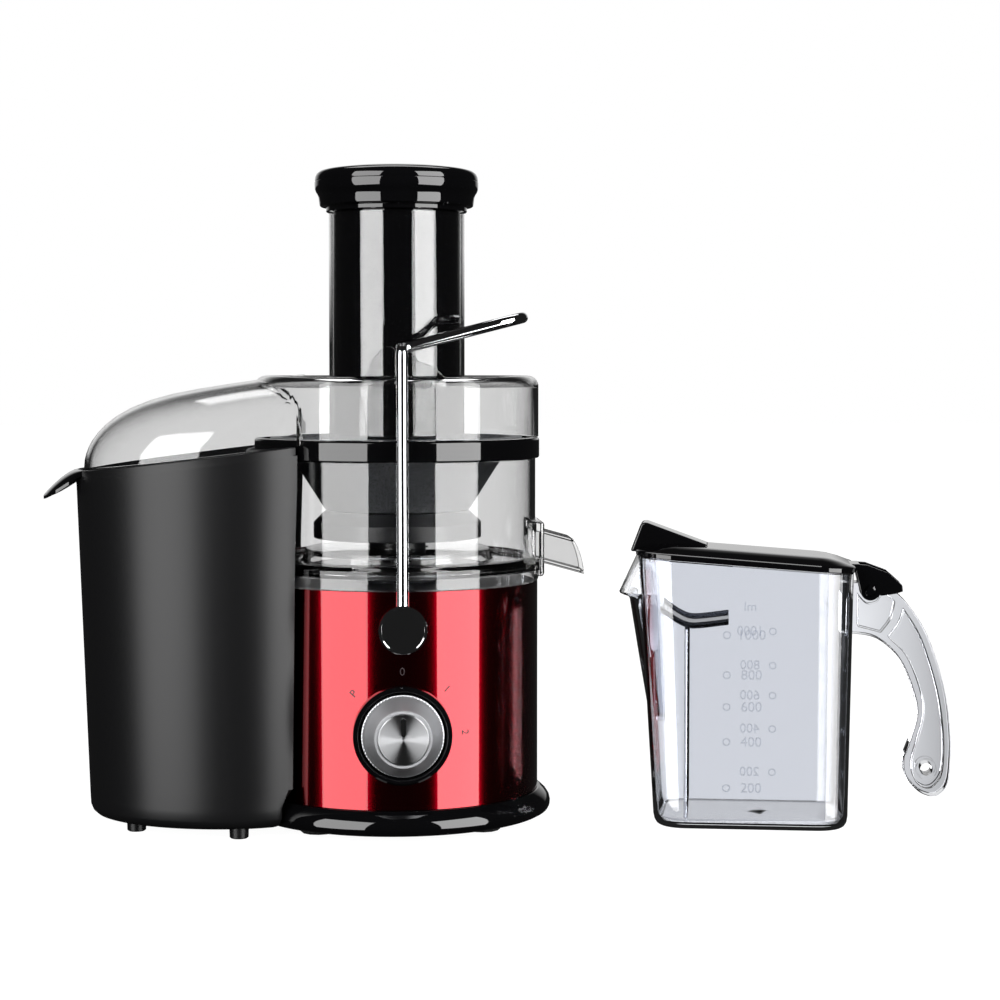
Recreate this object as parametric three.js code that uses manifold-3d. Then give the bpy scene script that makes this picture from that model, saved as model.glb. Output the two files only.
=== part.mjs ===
// A centrifugal juicer with its pulp container and its juice jug.
// Millimetres, +Z up, -Y to the front. The motor axis is X = Y = 0 while the pieces are made;
// the finished product is then moved so that its origin is the centre of its footprint.
import * as THREE from "three";
import { mergeVertices } from "three/addons/utils/BufferGeometryUtils.js";
import Module from "manifold-3d";

const wasm = await Module();
wasm.setup();

// ---------- driving dimensions ----------
const GAP = 0.3; // clearance between pieces that touch
const ROUND = 32; // sides of a large round piece
const SMALL = 12; // sides of a small round piece
const DEGREE = Math.PI / 180;

const SHELL_RADIUS = 82;
const SHELL_WALL = 1.2;
const SHELL_LOW = 18.3;
const SHELL_HIGH = 139.7;
const FOOT_CIRCLE = 66;
const FOOT_HEIGHT = 4.7;

const SHAFT_RADIUS = 4;
const BORE_RADIUS = SHAFT_RADIUS + GAP; // anything round the shaft
const BEARING_RADIUS = 8;
const STATOR_LOW = 55;
const STATOR_HIGH = 95;

const BOWL_RADIUS = 80.7;
const BOWL_WALL = 2.3;
const BOWL_FLANGE_RADIUS = 82.5;
const BOWL_LOW = 140.2;
const BOWL_FLOOR = 150.9;
const BOWL_HIGH = 210.7;
const RING_RADIUS = 83;
const RING_HIGH = 222.9;

const LID_RADIUS = 82.5;
const LID_WALL = 2.5;
const LID_LOW = RING_HIGH + 0.4;
const LID_HIGH = 258.5;
const CHUTE_RADIUS = 39.4;
const CHUTE_WALL = 2;
const CHUTE_LOW = 198;
const CHUTE_HIGH = 352;

const PUSHER_RADIUS = 36.3;
const CAP_LOW = CHUTE_HIGH + 0.8;

const LATCH_PIVOT_HEIGHT = 120;
const LATCH_ARM_OUT = 92; // outer face of an arm
const LATCH_ARM_IN = 88;
const LATCH_ROD_HEIGHT = 273.6; // rod that rests over the lid's lugs
const LATCH_ROD_RADIUS = 3;
const HANDLE_REACH = 70;
const HANDLE_HEIGHT = 291.5;

const KNOB_HEIGHT = 60.5;
const BEZEL_RADIUS = 27.6;
const KNOB_RADIUS = 22.8;

const BIN_CENTRE = -95;
const BIN_WALL = 2.2;
const BIN_TOP = { left: 91.5, right: 76, half: 74.5 };
const BIN_FOOT = { left: 84, right: 70, half: 69 };
const BIN_LOW = 5.5;
const BIN_RIM_LEFT = 204; // rim height at the far left
const BIN_RIM_SLOPE = 0.12;
const BIN_RIM_LEFT_X = -186;
const BIN_CLEARANCE_RADIUS = 85.8; // the hollow that takes the motor housing

const JUG_PLACE = new THREE.Vector3(205, -26, 0);
const JUG_TURN = -10 * DEGREE;
const JUG_HALF_LENGTH = 57;
const JUG_HALF_DEPTH = 39;
const JUG_CORNER = 20;
const JUG_WALL = 2.5;
const JUG_RIM = 150;
const JUG_RIM_SLOPE = -0.072;
const JUG_LEAN = 0.045;
const JUG_PIN = { x: 67.9, z: 135.2, radius: 3 };
const HANDLE_HALF_WIDTH = 8;

// ---------- finishes ----------
const RED_LACQUER = { color: 0x9c0d1c, roughness: 0.2, metalness: 0.6 };
const GLOSS_BLACK = { color: 0x0b0b0c, roughness: 0.12, metalness: 0 };
const SATIN_BLACK = { color: 0x1a1a1b, roughness: 0.5, metalness: 0 };
const CLEAR = { color: 0xe9edef, roughness: 0.05, metalness: 0, transparent: true, opacity: 0.35 };
const CHROME = { color: 0xd8d8da, roughness: 0.06, metalness: 1 };
const STEEL = { color: 0xb9bbbd, roughness: 0.32, metalness: 1 };
const RUBBER = { color: 0x141414, roughness: 0.85, metalness: 0 };
const LAMINATION = { color: 0x6b6d70, roughness: 0.55, metalness: 0.9 };
const COPPER = { color: 0xb06a35, roughness: 0.4, metalness: 1 };
const CARBON = { color: 0x2a2a2c, roughness: 0.7, metalness: 0.1 };
const BOARD = { color: 0x1f5a34, roughness: 0.6, metalness: 0 };

// ---------- solids ----------
// A closed geometry as a solid that can be joined and cut.
function solid(geometry) {
  const bare = geometry.index ? geometry.toNonIndexed() : geometry.clone();
  bare.deleteAttribute("normal");
  bare.deleteAttribute("uv");
  const merged = mergeVertices(bare, 1e-4);
  const vertProperties = merged.attributes.position.array;
  const triVerts = new Uint32Array(merged.index.array);
  return new wasm.Manifold(new wasm.Mesh({ numProp: 3, vertProperties, triVerts }));
}

function geometryOf(body) {
  const mesh = body.getMesh();
  const geometry = new THREE.BufferGeometry();
  geometry.setAttribute("position", new THREE.BufferAttribute(mesh.vertProperties, 3));
  geometry.setIndex(new THREE.BufferAttribute(mesh.triVerts, 1));
  geometry.computeVertexNormals();
  return geometry;
}

function join(...geometries) {
  return geometries.map(solid).reduce((whole, piece) => whole.add(piece));
}

// A profile of [radius, height] pairs turned round the Y axis. It ends on the axis or closes itself.
function turnedAboutY(profile, sides = ROUND) {
  const points = profile.map(([radius, height]) => new THREE.Vector2(radius, height));
  if (THREE.ShapeUtils.area(points) < 0) points.reverse();
  const endsOnAxis = points[0].x === 0 && points.at(-1).x === 0;
  if (!endsOnAxis) points.push(points[0].clone());
  return new THREE.LatheGeometry(points, sides);
}

// The same, turned round the Z axis.
function turned(profile, sides = ROUND) {
  return turnedAboutY(profile, sides).rotateX(Math.PI / 2);
}

function ring(inner, outer, low, high, sides = ROUND) {
  return turned([[inner, low], [outer, low], [outer, high], [inner, high]], sides);
}

function disc(radius, low, high, sides = ROUND) {
  return turned([[0, low], [radius, low], [radius, high], [0, high]], sides);
}

function discAboutY(radius, low, high, sides = SMALL) {
  return turnedAboutY([[0, low], [radius, low], [radius, high], [0, high]], sides);
}

function box(lowX, highX, lowY, highY, lowZ, highZ) {
  const geometry = new THREE.BoxGeometry(highX - lowX, highY - lowY, highZ - lowZ);
  return geometry.translate((lowX + highX) / 2, (lowY + highY) / 2, (lowZ + highZ) / 2);
}

function shapeOf(points) {
  return new THREE.Shape(points.map(([x, y]) => new THREE.Vector2(x, y)));
}

// An outline in the XZ plane, given as a shape whose y is the height, made thick from lowY to highY.
function sidePlate(shape, lowY, highY, curveSegments = 8) {
  const settings = { depth: highY - lowY, bevelEnabled: false, curveSegments };
  return new THREE.ExtrudeGeometry(shape, settings).rotateX(Math.PI / 2).translate(0, highY, 0);
}

function circlePoints(x, y, radius, sides) {
  return [...Array(sides)].map((_, side) => {
    const angle = (side / sides) * 2 * Math.PI;
    return new THREE.Vector2(x + radius * Math.cos(angle), y + radius * Math.sin(angle));
  });
}

function roundHole(x, y, radius) {
  return new THREE.Path(circlePoints(x, y, radius, 12));
}

// A closed skin through rings of points, lowest first, each ring anticlockwise from above.
function loft(rings) {
  const count = rings[0].length;
  const vertices = rings.flat();
  const index = [];
  for (let level = 0; level + 1 < rings.length; level++) {
    for (let side = 0; side < count; side++) {
      const next = (side + 1) % count;
      const a = level * count + side;
      const b = level * count + next;
      index.push(a, b, b + count, a, b + count, a + count);
    }
  }
  const flat = rings[0].map((point) => new THREE.Vector2(point.x, point.y));
  const top = (rings.length - 1) * count;
  for (const [a, b, c] of THREE.ShapeUtils.triangulateShape(flat, [])) {
    index.push(a, c, b, top + a, top + b, top + c);
  }
  const geometry = new THREE.BufferGeometry().setFromPoints(vertices);
  geometry.setIndex(index);
  return geometry;
}

// A ring made of two half ellipses that share their width.
function ovalRing(centreX, { left, right, half }, height, sides = 36) {
  const points = [];
  for (let side = 0; side < sides; side++) {
    const angle = (side / sides) * 2 * Math.PI;
    const reach = Math.cos(angle) > 0 ? right : left;
    points.push(new THREE.Vector3(centreX + reach * Math.cos(angle), half * Math.sin(angle), height));
  }
  return points;
}

function inset({ left, right, half }, by) {
  return { left: left - by, right: right - by, half: half - by };
}

// A rectangle with rounded corners at a height, or at a height that depends on x.
function roundedRing(halfLength, halfDepth, corner, heightAt, steps = 5) {
  const points = [];
  const centres = [[1, 1], [-1, 1], [-1, -1], [1, -1]];
  centres.forEach(([signX, signY], quarter) => {
    for (let step = 0; step <= steps; step++) {
      const angle = (quarter + step / steps) * (Math.PI / 2);
      const x = signX * (halfLength - corner) + corner * Math.cos(angle);
      const y = signY * (halfDepth - corner) + corner * Math.sin(angle);
      points.push(new THREE.Vector3(x, y, heightAt(x)));
    }
  });
  return points;
}

// A round rod that sets out straight up and follows straight runs with mitred corners.
function mitredRod(points, radius, sides = 12) {
  const start = points[0];
  let section = circlePoints(start.x, start.y, radius, sides)
    .map(({ x, y }) => new THREE.Vector3(x, y, start.z));
  const rings = [section];
  for (let i = 1; i < points.length; i++) {
    const along = points[i].clone().sub(points[i - 1]).normalize();
    const onward = i + 1 < points.length ? points[i + 1].clone().sub(points[i]).normalize() : along;
    const mitre = along.clone().add(onward).normalize();
    section = section.map((point) => {
      const travel = points[i].clone().sub(point).dot(mitre) / along.dot(mitre);
      return point.clone().addScaledVector(along, travel);
    });
    rings.push(section);
  }
  return loft(rings);
}

function addPart(group, name, shape, finish) {
  const geometry = shape.isBufferGeometry ? shape : geometryOf(shape);
  const mesh = new THREE.Mesh(geometry, new THREE.MeshStandardMaterial(finish));
  mesh.name = name;
  group.add(mesh);
  return mesh;
}

// ---------- housing ----------
function footPlaces() {
  const reach = FOOT_CIRCLE * Math.SQRT1_2;
  return [
    ["front_left", -reach, -reach],
    ["front_right", reach, -reach],
    ["back_left", -reach, reach],
    ["back_right", reach, reach],
  ];
}

function addFeet(group) {
  const profile = [[0, 0], [9.5, 0], [11, 1.2], [9, FOOT_HEIGHT], [0, FOOT_HEIGHT]];
  for (const [where, x, y] of footPlaces()) {
    addPart(group, `foot_${where}`, turned(profile, SMALL), RUBBER).position.set(x, y, 0);
  }
}

function bottomPlate() {
  return ring(14, SHELL_RADIUS - 2.5, FOOT_HEIGHT + GAP, 7.6);
}

function baseSkirt() {
  return turned([
    [80, 4.5], [87, 4.5], [89.5, 8.5], [89.2, 12], [86.5, 16], [84, 18], [80, 18],
  ]);
}

function redShell() {
  const tube = solid(ring(SHELL_RADIUS - SHELL_WALL, SHELL_RADIUS, SHELL_LOW, SHELL_HIGH));
  const knobHole = discAboutY(6, -SHELL_RADIUS - 5, -SHELL_RADIUS / 2).translate(0, 0, KNOB_HEIGHT);
  const pinHoles = discAboutY(4.6, -SHELL_RADIUS - 5, SHELL_RADIUS + 5).translate(0, 0, LATCH_PIVOT_HEIGHT);
  const cordHole = discAboutY(6, SHELL_RADIUS / 2, SHELL_RADIUS + 5).translate(0, 0, 32);
  return tube.subtract(solid(knobHole)).subtract(solid(pinHoles)).subtract(solid(cordHole));
}

function motorDeck() {
  return turned([[9, 136], [80.4, 136], [80.4, 139.6], [26, 139.6], [22, 147], [9, 147]]);
}

function cordGland() {
  return turnedAboutY([[3.5, 76], [5.6, 76], [5.6, 83.2], [8, 83.2], [6.2, 98], [3.5, 98]], SMALL)
    .translate(0, 0, 32);
}

function latchPin(side) {
  const profile = [[0, 74], [4, 74], [4, 83], [8, 83], [8, 85.5], [4, 85.5], [4, 91.7], [0, 91.7]];
  const pin = turnedAboutY(profile, SMALL);
  if (side === "front") pin.rotateZ(Math.PI);
  return pin.translate(0, 0, LATCH_PIVOT_HEIGHT);
}

// ---------- controls ----------
function knobBezel() {
  const dish = turnedAboutY([
    [5, -76], [5, -85.3], [24, -85.3], [24, -88], [26.4, -88], [BEZEL_RADIUS, -86.6], [BEZEL_RADIUS, -76],
  ]).translate(0, 0, KNOB_HEIGHT);
  const housing = disc(SHELL_RADIUS + GAP, 0, SHELL_HIGH);
  return solid(dish).subtract(solid(housing));
}

function controlKnob() {
  return turnedAboutY([
    [3.4, -85.7], [KNOB_RADIUS, -85.7], [21.6, -89], [15.4, -99], [14.4, -99],
    [14.4, -98], [3.4, -98],
  ], 24).translate(0, 0, KNOB_HEIGHT);
}

function knobFace() {
  return turnedAboutY([[0, -98.3], [14.1, -98.3], [14.1, -99.4], [13.2, -100.2], [0, -100.2]], 24)
    .translate(0, 0, KNOB_HEIGHT);
}

function knobShaft() {
  return discAboutY(3, -97.7, -60.3).translate(0, 0, KNOB_HEIGHT);
}

// ---------- motor ----------
function bracket(low, hubLow, rim) {
  return turned([
    [BEARING_RADIUS + GAP, hubLow], [12, hubLow], [12, low], [rim, low], [rim, low + 3],
    [BEARING_RADIUS + GAP, low + 3],
  ], 24);
}

function fieldCoil(direction) {
  const half = 70 * DEGREE;
  const middle = direction > 0 ? 0 : Math.PI;
  const shape = new THREE.Shape()
    .absarc(0, 0, 36, middle - half, middle + half, false)
    .absarc(0, 0, 23, middle + half, middle - half, true);
  const settings = { depth: 8, bevelEnabled: false, curveSegments: 10 };
  return new THREE.ExtrudeGeometry(shape, settings).translate(0, 0, STATOR_HIGH + GAP);
}

function brushHolder(direction) {
  const holder = solid(box(13, 30, -4.5, 4.5, 31.5, 40.5));
  const bore = solid(box(10, 33, -2.9, 2.9, 33.1, 38.9));
  return geometryOf(holder.subtract(bore)).rotateZ(direction > 0 ? 0 : Math.PI);
}

function carbonBrush(direction) {
  return box(10.5, 24, -2.5, 2.5, 33.5, 38.5).rotateZ(direction > 0 ? 0 : Math.PI);
}

function coolingFan() {
  const plate = solid(ring(BORE_RADIUS, 34, 114, 115.6, 24));
  const hub = solid(ring(BORE_RADIUS, 9, 114, 121, 24));
  let fan = plate.add(hub);
  const blades = 8;
  for (let blade = 0; blade < blades; blade++) {
    const vane = box(8, 33, -0.8, 0.8, 115, 121).rotateZ((blade / blades) * 2 * Math.PI);
    fan = fan.add(solid(vane));
  }
  return fan;
}

function driveCoupling() {
  const hexagon = solid(disc(13, 149, 166, 6));
  return hexagon.subtract(solid(disc(BORE_RADIUS, 140, 170, SMALL)));
}

function addMotor(base, rotor) {
  addPart(base, "stator_core", ring(21, 38, STATOR_LOW, STATOR_HIGH, 24), LAMINATION);
  addPart(base, "lower_bracket", bracket(22, 19.5, 46), STEEL);
  addPart(base, "upper_bracket", bracket(108, 105.5, 60), STEEL);
  addPart(base, "lower_bearing", ring(BORE_RADIUS, BEARING_RADIUS, 20, 25, SMALL), STEEL);
  addPart(base, "upper_bearing", ring(BORE_RADIUS, BEARING_RADIUS, 106, 111, SMALL), STEEL);
  addPart(base, "shaft_seal", ring(BORE_RADIUS, 8.7, 137, 144, SMALL), RUBBER);
  for (const [where, direction] of [["right", 1], ["left", -1]]) {
    addPart(base, `field_coil_${where}`, fieldCoil(direction), COPPER);
    addPart(base, `brush_holder_${where}`, brushHolder(direction), SATIN_BLACK);
    addPart(base, `carbon_brush_${where}`, carbonBrush(direction), CARBON);
  }
  for (const [where, x, y] of footPlaces()) {
    const mount = disc(6, 7.9, 21.7, SMALL);
    const nearer = 38 / FOOT_CIRCLE;
    addPart(base, `motor_mount_${where}`, mount, RUBBER).position.set(x * nearer, y * nearer, 0);
  }
  addPart(rotor, "motor_shaft", disc(SHAFT_RADIUS, 19, 176, SMALL), STEEL);
  addPart(rotor, "armature_core", ring(BORE_RADIUS, 20, STATOR_LOW, STATOR_HIGH, 24), LAMINATION);
  addPart(rotor, "armature_winding_lower", ring(BORE_RADIUS, 17, 44, STATOR_LOW - GAP, 24), COPPER);
  addPart(rotor, "armature_winding_upper", ring(BORE_RADIUS, 17, STATOR_HIGH + GAP, 103, 24), COPPER);
  addPart(rotor, "commutator", ring(BORE_RADIUS, 10, 30, 42, 24), COPPER);
  addPart(rotor, "cooling_fan", coolingFan(), SATIN_BLACK);
  addPart(rotor, "drive_coupling", driveCoupling(), SATIN_BLACK);
}

// ---------- juice bowl ----------
// The sloping channel that carries the juice through the bowl's wall.
function spoutChannel() {
  return sidePlate(shapeOf([[60, 173.4], [60, 158.2], [114, 143.3], [114, 158.3]]), -12, 12);
}

function juiceBowl() {
  const inner = BOWL_RADIUS - BOWL_WALL;
  const wall = solid(turned([
    [18, 155.6], [51.5, 155.6], [53.7, 148.6], [78, 148.6], [80.2, 146.2], [80.2, BOWL_LOW],
    [BOWL_FLANGE_RADIUS, BOWL_LOW], [BOWL_FLANGE_RADIUS, 151.2], [BOWL_RADIUS, 153],
    [BOWL_RADIUS, BOWL_HIGH], [inner, BOWL_HIGH], [inner, 153.4], [75.5, BOWL_FLOOR],
    [56, BOWL_FLOOR], [53.4, 158], [18, 158],
  ]));
  return wall.subtract(solid(spoutChannel()));
}

function juiceSpout() {
  const tube = shapeOf([
    [78, 170.4], [101.8, 163.7], [105.4, 157], [107.6, 150], [108.6, 142.8], [84, 149.6], [78, 151.3],
  ]);
  const flange = box(76, 84.8, -19, 19, 142, 174);
  const inside = join(
    disc(BOWL_RADIUS + GAP, 152.6, 180),
    disc(BOWL_FLANGE_RADIUS + GAP, 130, 152.7),
  );
  return join(sidePlate(tube, -14, 14), flange).subtract(solid(spoutChannel())).subtract(inside);
}

// ---------- basket ----------
function basketHub() {
  return turned([
    [13.6, 152], [16.5, 152], [16.5, 174], [46.5, 172], [46.5, 164], [49, 164], [49, 173],
    [42, 179.9], [5, 179.9], [5, 170], [13.6, 170],
  ]);
}

function filterBasket() {
  return turned([
    [37, 180.2], [42, 180.2], [57.4, 204.6], [68.9, 221.6], [74, 221.6], [74, 223.2],
    [68, 223.2], [56.6, 205.4], [41.4, 181.4], [37, 181.4],
  ]);
}

function graterDisc() {
  let grater = solid(turned([[0, 181.7], [40.6, 181.7], [40.6, 183], [12, 183], [7, 186], [0, 186.5]]));
  const teeth = 12;
  for (let tooth = 0; tooth < teeth; tooth++) {
    const angle = (tooth / teeth) * 2 * Math.PI;
    const reach = tooth % 2 ? 32 : 22;
    const spike = new THREE.ConeGeometry(1.6, 3, 4).rotateX(Math.PI / 2);
    spike.translate(reach * Math.cos(angle), reach * Math.sin(angle), 184);
    grater = grater.add(solid(spike));
  }
  return grater;
}

// ---------- lid, hood and chute ----------
function rimHeight(x) {
  return BIN_RIM_LEFT + (x - BIN_RIM_LEFT_X) * BIN_RIM_SLOPE;
}

const HOOD_CREST = [
  [-54, 258.8], [-87, 255.3], [-126, 248.3], [-153, 241.2], [-165.5, 234.2], [-172, 227.2],
  [-176, 220.2], [-179, 213.2], [-181, 206],
];
const HOOD_PLAN = { left: 86, right: 100, half: 68 };

function hoodBody(crest, plan, endX, lowAt) {
  const outline = [[endX, lowAt(endX)], [endX, crest[0][1]], ...crest, [-182, lowAt(-182)]];
  const side = solid(sidePlate(shapeOf(outline), -80, 80));
  const above = solid(loft([ovalRing(BIN_CENTRE, plan, 190), ovalRing(BIN_CENTRE, plan, 265)]));
  return side.intersect(above);
}

function lidDome(radius, low, high, shoulder) {
  return turned([
    [0, low], [radius, low], [radius, high - shoulder], [radius - 0.3 * shoulder, high - 0.3 * shoulder],
    [radius - shoulder, high], [0, high],
  ]);
}

// The fin that the latch rod rests on: an arch with a notch on its crest.
function latchLug(lowY, highY) {
  return sidePlate(shapeOf([
    [-20.4, 252], [24.5, 252], [24.5, 257], [16, 263], [9.5, 266.4], [8, 269.5], [-1.8, 269.5],
    [-3.2, 273.4], [-6, 275], [-10, 274], [-16, 268], [-20.4, 258],
  ]), lowY, highY);
}

function lid() {
  const hoodOuter = hoodBody(HOOD_CREST, HOOD_PLAN, -54, (x) => rimHeight(x) + 0.5);
  const innerCrest = HOOD_CREST.slice(1).map(([x, z]) => [x + 1.9, z - 2.2]);
  innerCrest.unshift([-58, 256.2]);
  const hoodInner = hoodBody(innerCrest, inset(HOOD_PLAN, 2.2), -58, () => 195);
  const domeOuter = solid(lidDome(LID_RADIUS, LID_LOW, LID_HIGH, 6));
  const domeInner = solid(lidDome(LID_RADIUS - LID_WALL, LID_LOW - 20, LID_HIGH - LID_WALL, 5));
  const bowlClearance = solid(disc(RING_RADIUS + 0.6, 180, LID_LOW));
  const throat = solid(disc(CHUTE_RADIUS - CHUTE_WALL, CHUTE_LOW - 10, CHUTE_HIGH + 10));
  const chute = solid(disc(CHUTE_RADIUS, CHUTE_LOW, CHUTE_HIGH));
  const shell = domeOuter.add(hoodOuter.subtract(bowlClearance)).subtract(domeInner).subtract(hoodInner);
  const lugs = join(latchLug(-77, -74.4), latchLug(74.4, 77));
  return shell.add(chute).subtract(throat).add(lugs);
}

// ---------- pusher ----------
function pusherBody() {
  const inner = PUSHER_RADIUS - 2.2;
  return turned([
    [0, 190], [PUSHER_RADIUS, 190], [PUSHER_RADIUS, CAP_LOW], [inner, CAP_LOW], [inner, 193], [0, 193],
  ]);
}

function pusherCap() {
  return turned([
    [0, CAP_LOW + GAP], [41, CAP_LOW + GAP], [41.5, 357.5], [44.8, 360.5], [47.5, 366.5], [47.5, 371],
    [46.5, 374.6], [38, 377.6], [20, 379.5], [0, 380],
  ]);
}

// ---------- latch ----------
function latchBail() {
  const y = (LATCH_ARM_OUT + LATCH_ARM_IN) / 2;
  const handleY = 55;
  const half = [
    new THREE.Vector3(0, -y, 262),
    new THREE.Vector3(0, -y, LATCH_ROD_HEIGHT),
    new THREE.Vector3(0, -68, LATCH_ROD_HEIGHT),
    new THREE.Vector3(HANDLE_REACH, -handleY, HANDLE_HEIGHT),
  ];
  const mirrored = half.map((point) => new THREE.Vector3(point.x, -point.y, point.z)).reverse();
  let bail = solid(mitredRod([...half, ...mirrored], LATCH_ROD_RADIUS));
  for (const [low, high] of [[-LATCH_ARM_OUT, -LATCH_ARM_IN], [LATCH_ARM_IN, LATCH_ARM_OUT]]) {
    const eye = discAboutY(9, low, high, 24).translate(0, 0, LATCH_PIVOT_HEIGHT);
    bail = bail.add(solid(box(-3.7, 3.7, low, high, LATCH_PIVOT_HEIGHT, 266))).add(solid(eye));
  }
  const pinBore = discAboutY(4 + GAP, -LATCH_ARM_OUT - 5, LATCH_ARM_OUT + 5)
    .translate(0, 0, LATCH_PIVOT_HEIGHT);
  return bail.subtract(solid(pinBore));
}

function latchHub(side) {
  const near = LATCH_ARM_OUT + GAP;
  const profile = [[0, near], [13.4, near], [13.4, near + 2.6], [12.2, near + 3.4], [0, near + 4]];
  const hub = turnedAboutY(profile, 24);
  if (side === "front") hub.rotateZ(Math.PI);
  return hub.translate(0, 0, LATCH_PIVOT_HEIGHT);
}

// ---------- pulp container ----------
function pulpContainer() {
  const outer = solid(loft([
    ovalRing(BIN_CENTRE, inset(BIN_FOOT, 4), BIN_LOW),
    ovalRing(BIN_CENTRE, BIN_FOOT, BIN_LOW + 4),
    ovalRing(BIN_CENTRE, BIN_TOP, 230),
  ]));
  const inner = solid(loft([
    ovalRing(BIN_CENTRE, inset(BIN_FOOT, 4 + BIN_WALL), BIN_LOW + 2.5),
    ovalRing(BIN_CENTRE, inset(BIN_FOOT, BIN_WALL), BIN_LOW + 6),
    ovalRing(BIN_CENTRE, inset(BIN_TOP, BIN_WALL), 230.5),
  ]));
  const housingSpace = (extra) => solid(turned([
    [0, -5], [91.5 + extra, -5], [91.5 + extra, 17 + extra], [BIN_CLEARANCE_RADIUS + extra, 27 + extra],
    [BIN_CLEARANCE_RADIUS + extra, 240], [0, 240],
  ]));
  const wall = outer.subtract(housingSpace(0)).subtract(inner.subtract(housingSpace(BIN_WALL)));
  const farX = -240;
  const rimLine = [[farX, rimHeight(farX)], [0, rimHeight(0)], [0, 270], [farX, 270]];
  const aboveRim = sidePlate(shapeOf(rimLine), -90, 90);
  const lip = sidePlate(shapeOf([
    [-184.6, 202.5], [-193, 198], [-204, 190.5], [-204, 192.6], [-193.5, 201], [-184.6, 205.6],
  ]), -24, 24);
  let container = wall.subtract(solid(aboveRim)).add(solid(lip));
  for (const [x, y] of [[-91, -60], [-91, 60], [-150, -35], [-150, 35]]) {
    container = container.add(solid(disc(5.5, 0, BIN_LOW + 1.5, SMALL).translate(x, y, 0)));
  }
  return container;
}

// ---------- jug ----------
function jugRim(x) {
  return JUG_RIM + x * JUG_RIM_SLOPE;
}

// The jug's left end leans outwards, so that its points move left with height.
function leanLeft(x, height) {
  return x < 0 ? x * (1 + JUG_LEAN * height / JUG_HALF_LENGTH) : x;
}

function leaned(ring, height) {
  ring.forEach((point) => {
    point.x = leanLeft(point.x, height);
  });
  return ring;
}

function jugLevels(wall, heights) {
  return heights.map(([height, grow]) => leaned(roundedRing(
    JUG_HALF_LENGTH + grow - wall, JUG_HALF_DEPTH + grow - wall, JUG_CORNER - wall, () => height,
  ), height));
}

// The keel-shaped pouring lip, as a solid, moved in from its outside by a wall.
function pouringLip(wall, top) {
  const level = (reach, half, height) => [
    new THREE.Vector3(-50, -half, height), new THREE.Vector3(-50, half, height),
    new THREE.Vector3(-reach, 2, height), new THREE.Vector3(-reach, -2, height),
  ];
  return solid(loft([
    level(58.5 - wall, 12 - wall, 60 + wall), level(70.5 - wall, 24 - wall, 130.5),
    level(76.4 - wall, 25 - wall, 133), level(66 - wall, 25 - wall, 154.5), level(66 - wall, 25 - wall, top),
  ]));
}

function jugHandle() {
  const shape = new THREE.Shape().moveTo(52, 139.5).lineTo(66, 139.8);
  shape.splineThru([[76, 137], [88, 129], [101, 109], [110.8, 79], [114.5, 52], [114, 25.5], [107.5, 16.6]]
    .map(([x, z]) => new THREE.Vector2(x, z)));
  shape.splineThru([[98.3, 18.2], [89.6, 26.8], [87.8, 36.7], [91.6, 48.5], [95.5, 64.4], [92.5, 79],
    [85, 95.7], [72, 107.2], [52, 110]].map(([x, z]) => new THREE.Vector2(x, z)));
  shape.holes.push(roundHole(JUG_PIN.x, JUG_PIN.z, JUG_PIN.radius + GAP), roundHole(101, 31.7, 3.6));
  return sidePlate(shape, -HANDLE_HALF_WIDTH, HANDLE_HALF_WIDTH, 4);
}

function jugBody() {
  const outer = solid(loft(jugLevels(0, [[0, -4.5], [3, -1.5], [170, 1.5]])));
  const inner = solid(loft(jugLevels(JUG_WALL, [[3, -4.5], [6, -1.5], [171, 1.5]])));
  const whole = outer.add(pouringLip(0, 170)).add(solid(jugHandle()));
  const hollow = inner.add(pouringLip(JUG_WALL, 171));
  const rimLine = [[-100, jugRim(-100)], [62, jugRim(62)], [62, 180], [-100, 180]];
  const aboveRim = sidePlate(shapeOf(rimLine), -60, 60);
  return whole.subtract(hollow).subtract(solid(aboveRim));
}

function frothSeparator() {
  const plate = box(-38, -36, -34, 34, 6, 116);
  const wing = sidePlate(shapeOf([
    [-52, 123], [-37, 113.6], [-13, 116.4], [-13, 118.2], [-36.6, 115.8], [-52, 125.2],
  ]), -25, 25);
  return join(plate, wing);
}

function jugLid() {
  const cover = (grow, rise) => leaned(roundedRing(
    JUG_HALF_LENGTH + grow, JUG_HALF_DEPTH + grow, JUG_CORNER, (x) => jugRim(leanLeft(x, JUG_RIM)) + rise,
  ), JUG_RIM);
  const crown = solid(loft([cover(2, 0.6), cover(2, 3.2), cover(-8, 8)]));
  const beak = solid(sidePlate(shapeOf([
    [-70, 156.6], [-62.5, 173.6], [-26, 161], [-26, 154], [-50, 155.4], [-64, 156.4],
  ]), -12, 12));
  const ear = new THREE.Shape().moveTo(50, 148).lineTo(60, 150).lineTo(86, 137);
  ear.lineTo(84, 133).lineTo(74, 132);
  ear.absarc(JUG_PIN.x, JUG_PIN.z, 5.4, -0.6, -Math.PI, true).lineTo(59.5, 146.4);
  ear.holes.push(roundHole(JUG_PIN.x, JUG_PIN.z, JUG_PIN.radius + GAP));
  const ears = join(sidePlate(ear, -12, -8.6, 5), sidePlate(ear, 8.6, 12, 5));
  const bridge = solid(box(54, 61, -12, 12, 147, 150));
  return crown.add(beak).add(ears).add(bridge);
}

function jugHingePin() {
  return discAboutY(JUG_PIN.radius, -13.5, 13.5).translate(JUG_PIN.x, 0, JUG_PIN.z);
}

// ---------- the whole product ----------
const product = new THREE.Group();
const base = new THREE.Group();
const rotor = new THREE.Group();
const latch = new THREE.Group();
const cover = new THREE.Group();
const pusher = new THREE.Group();
const knob = new THREE.Group();
const jug = new THREE.Group();
product.add(base, rotor, latch, cover, pusher, knob, jug);

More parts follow.
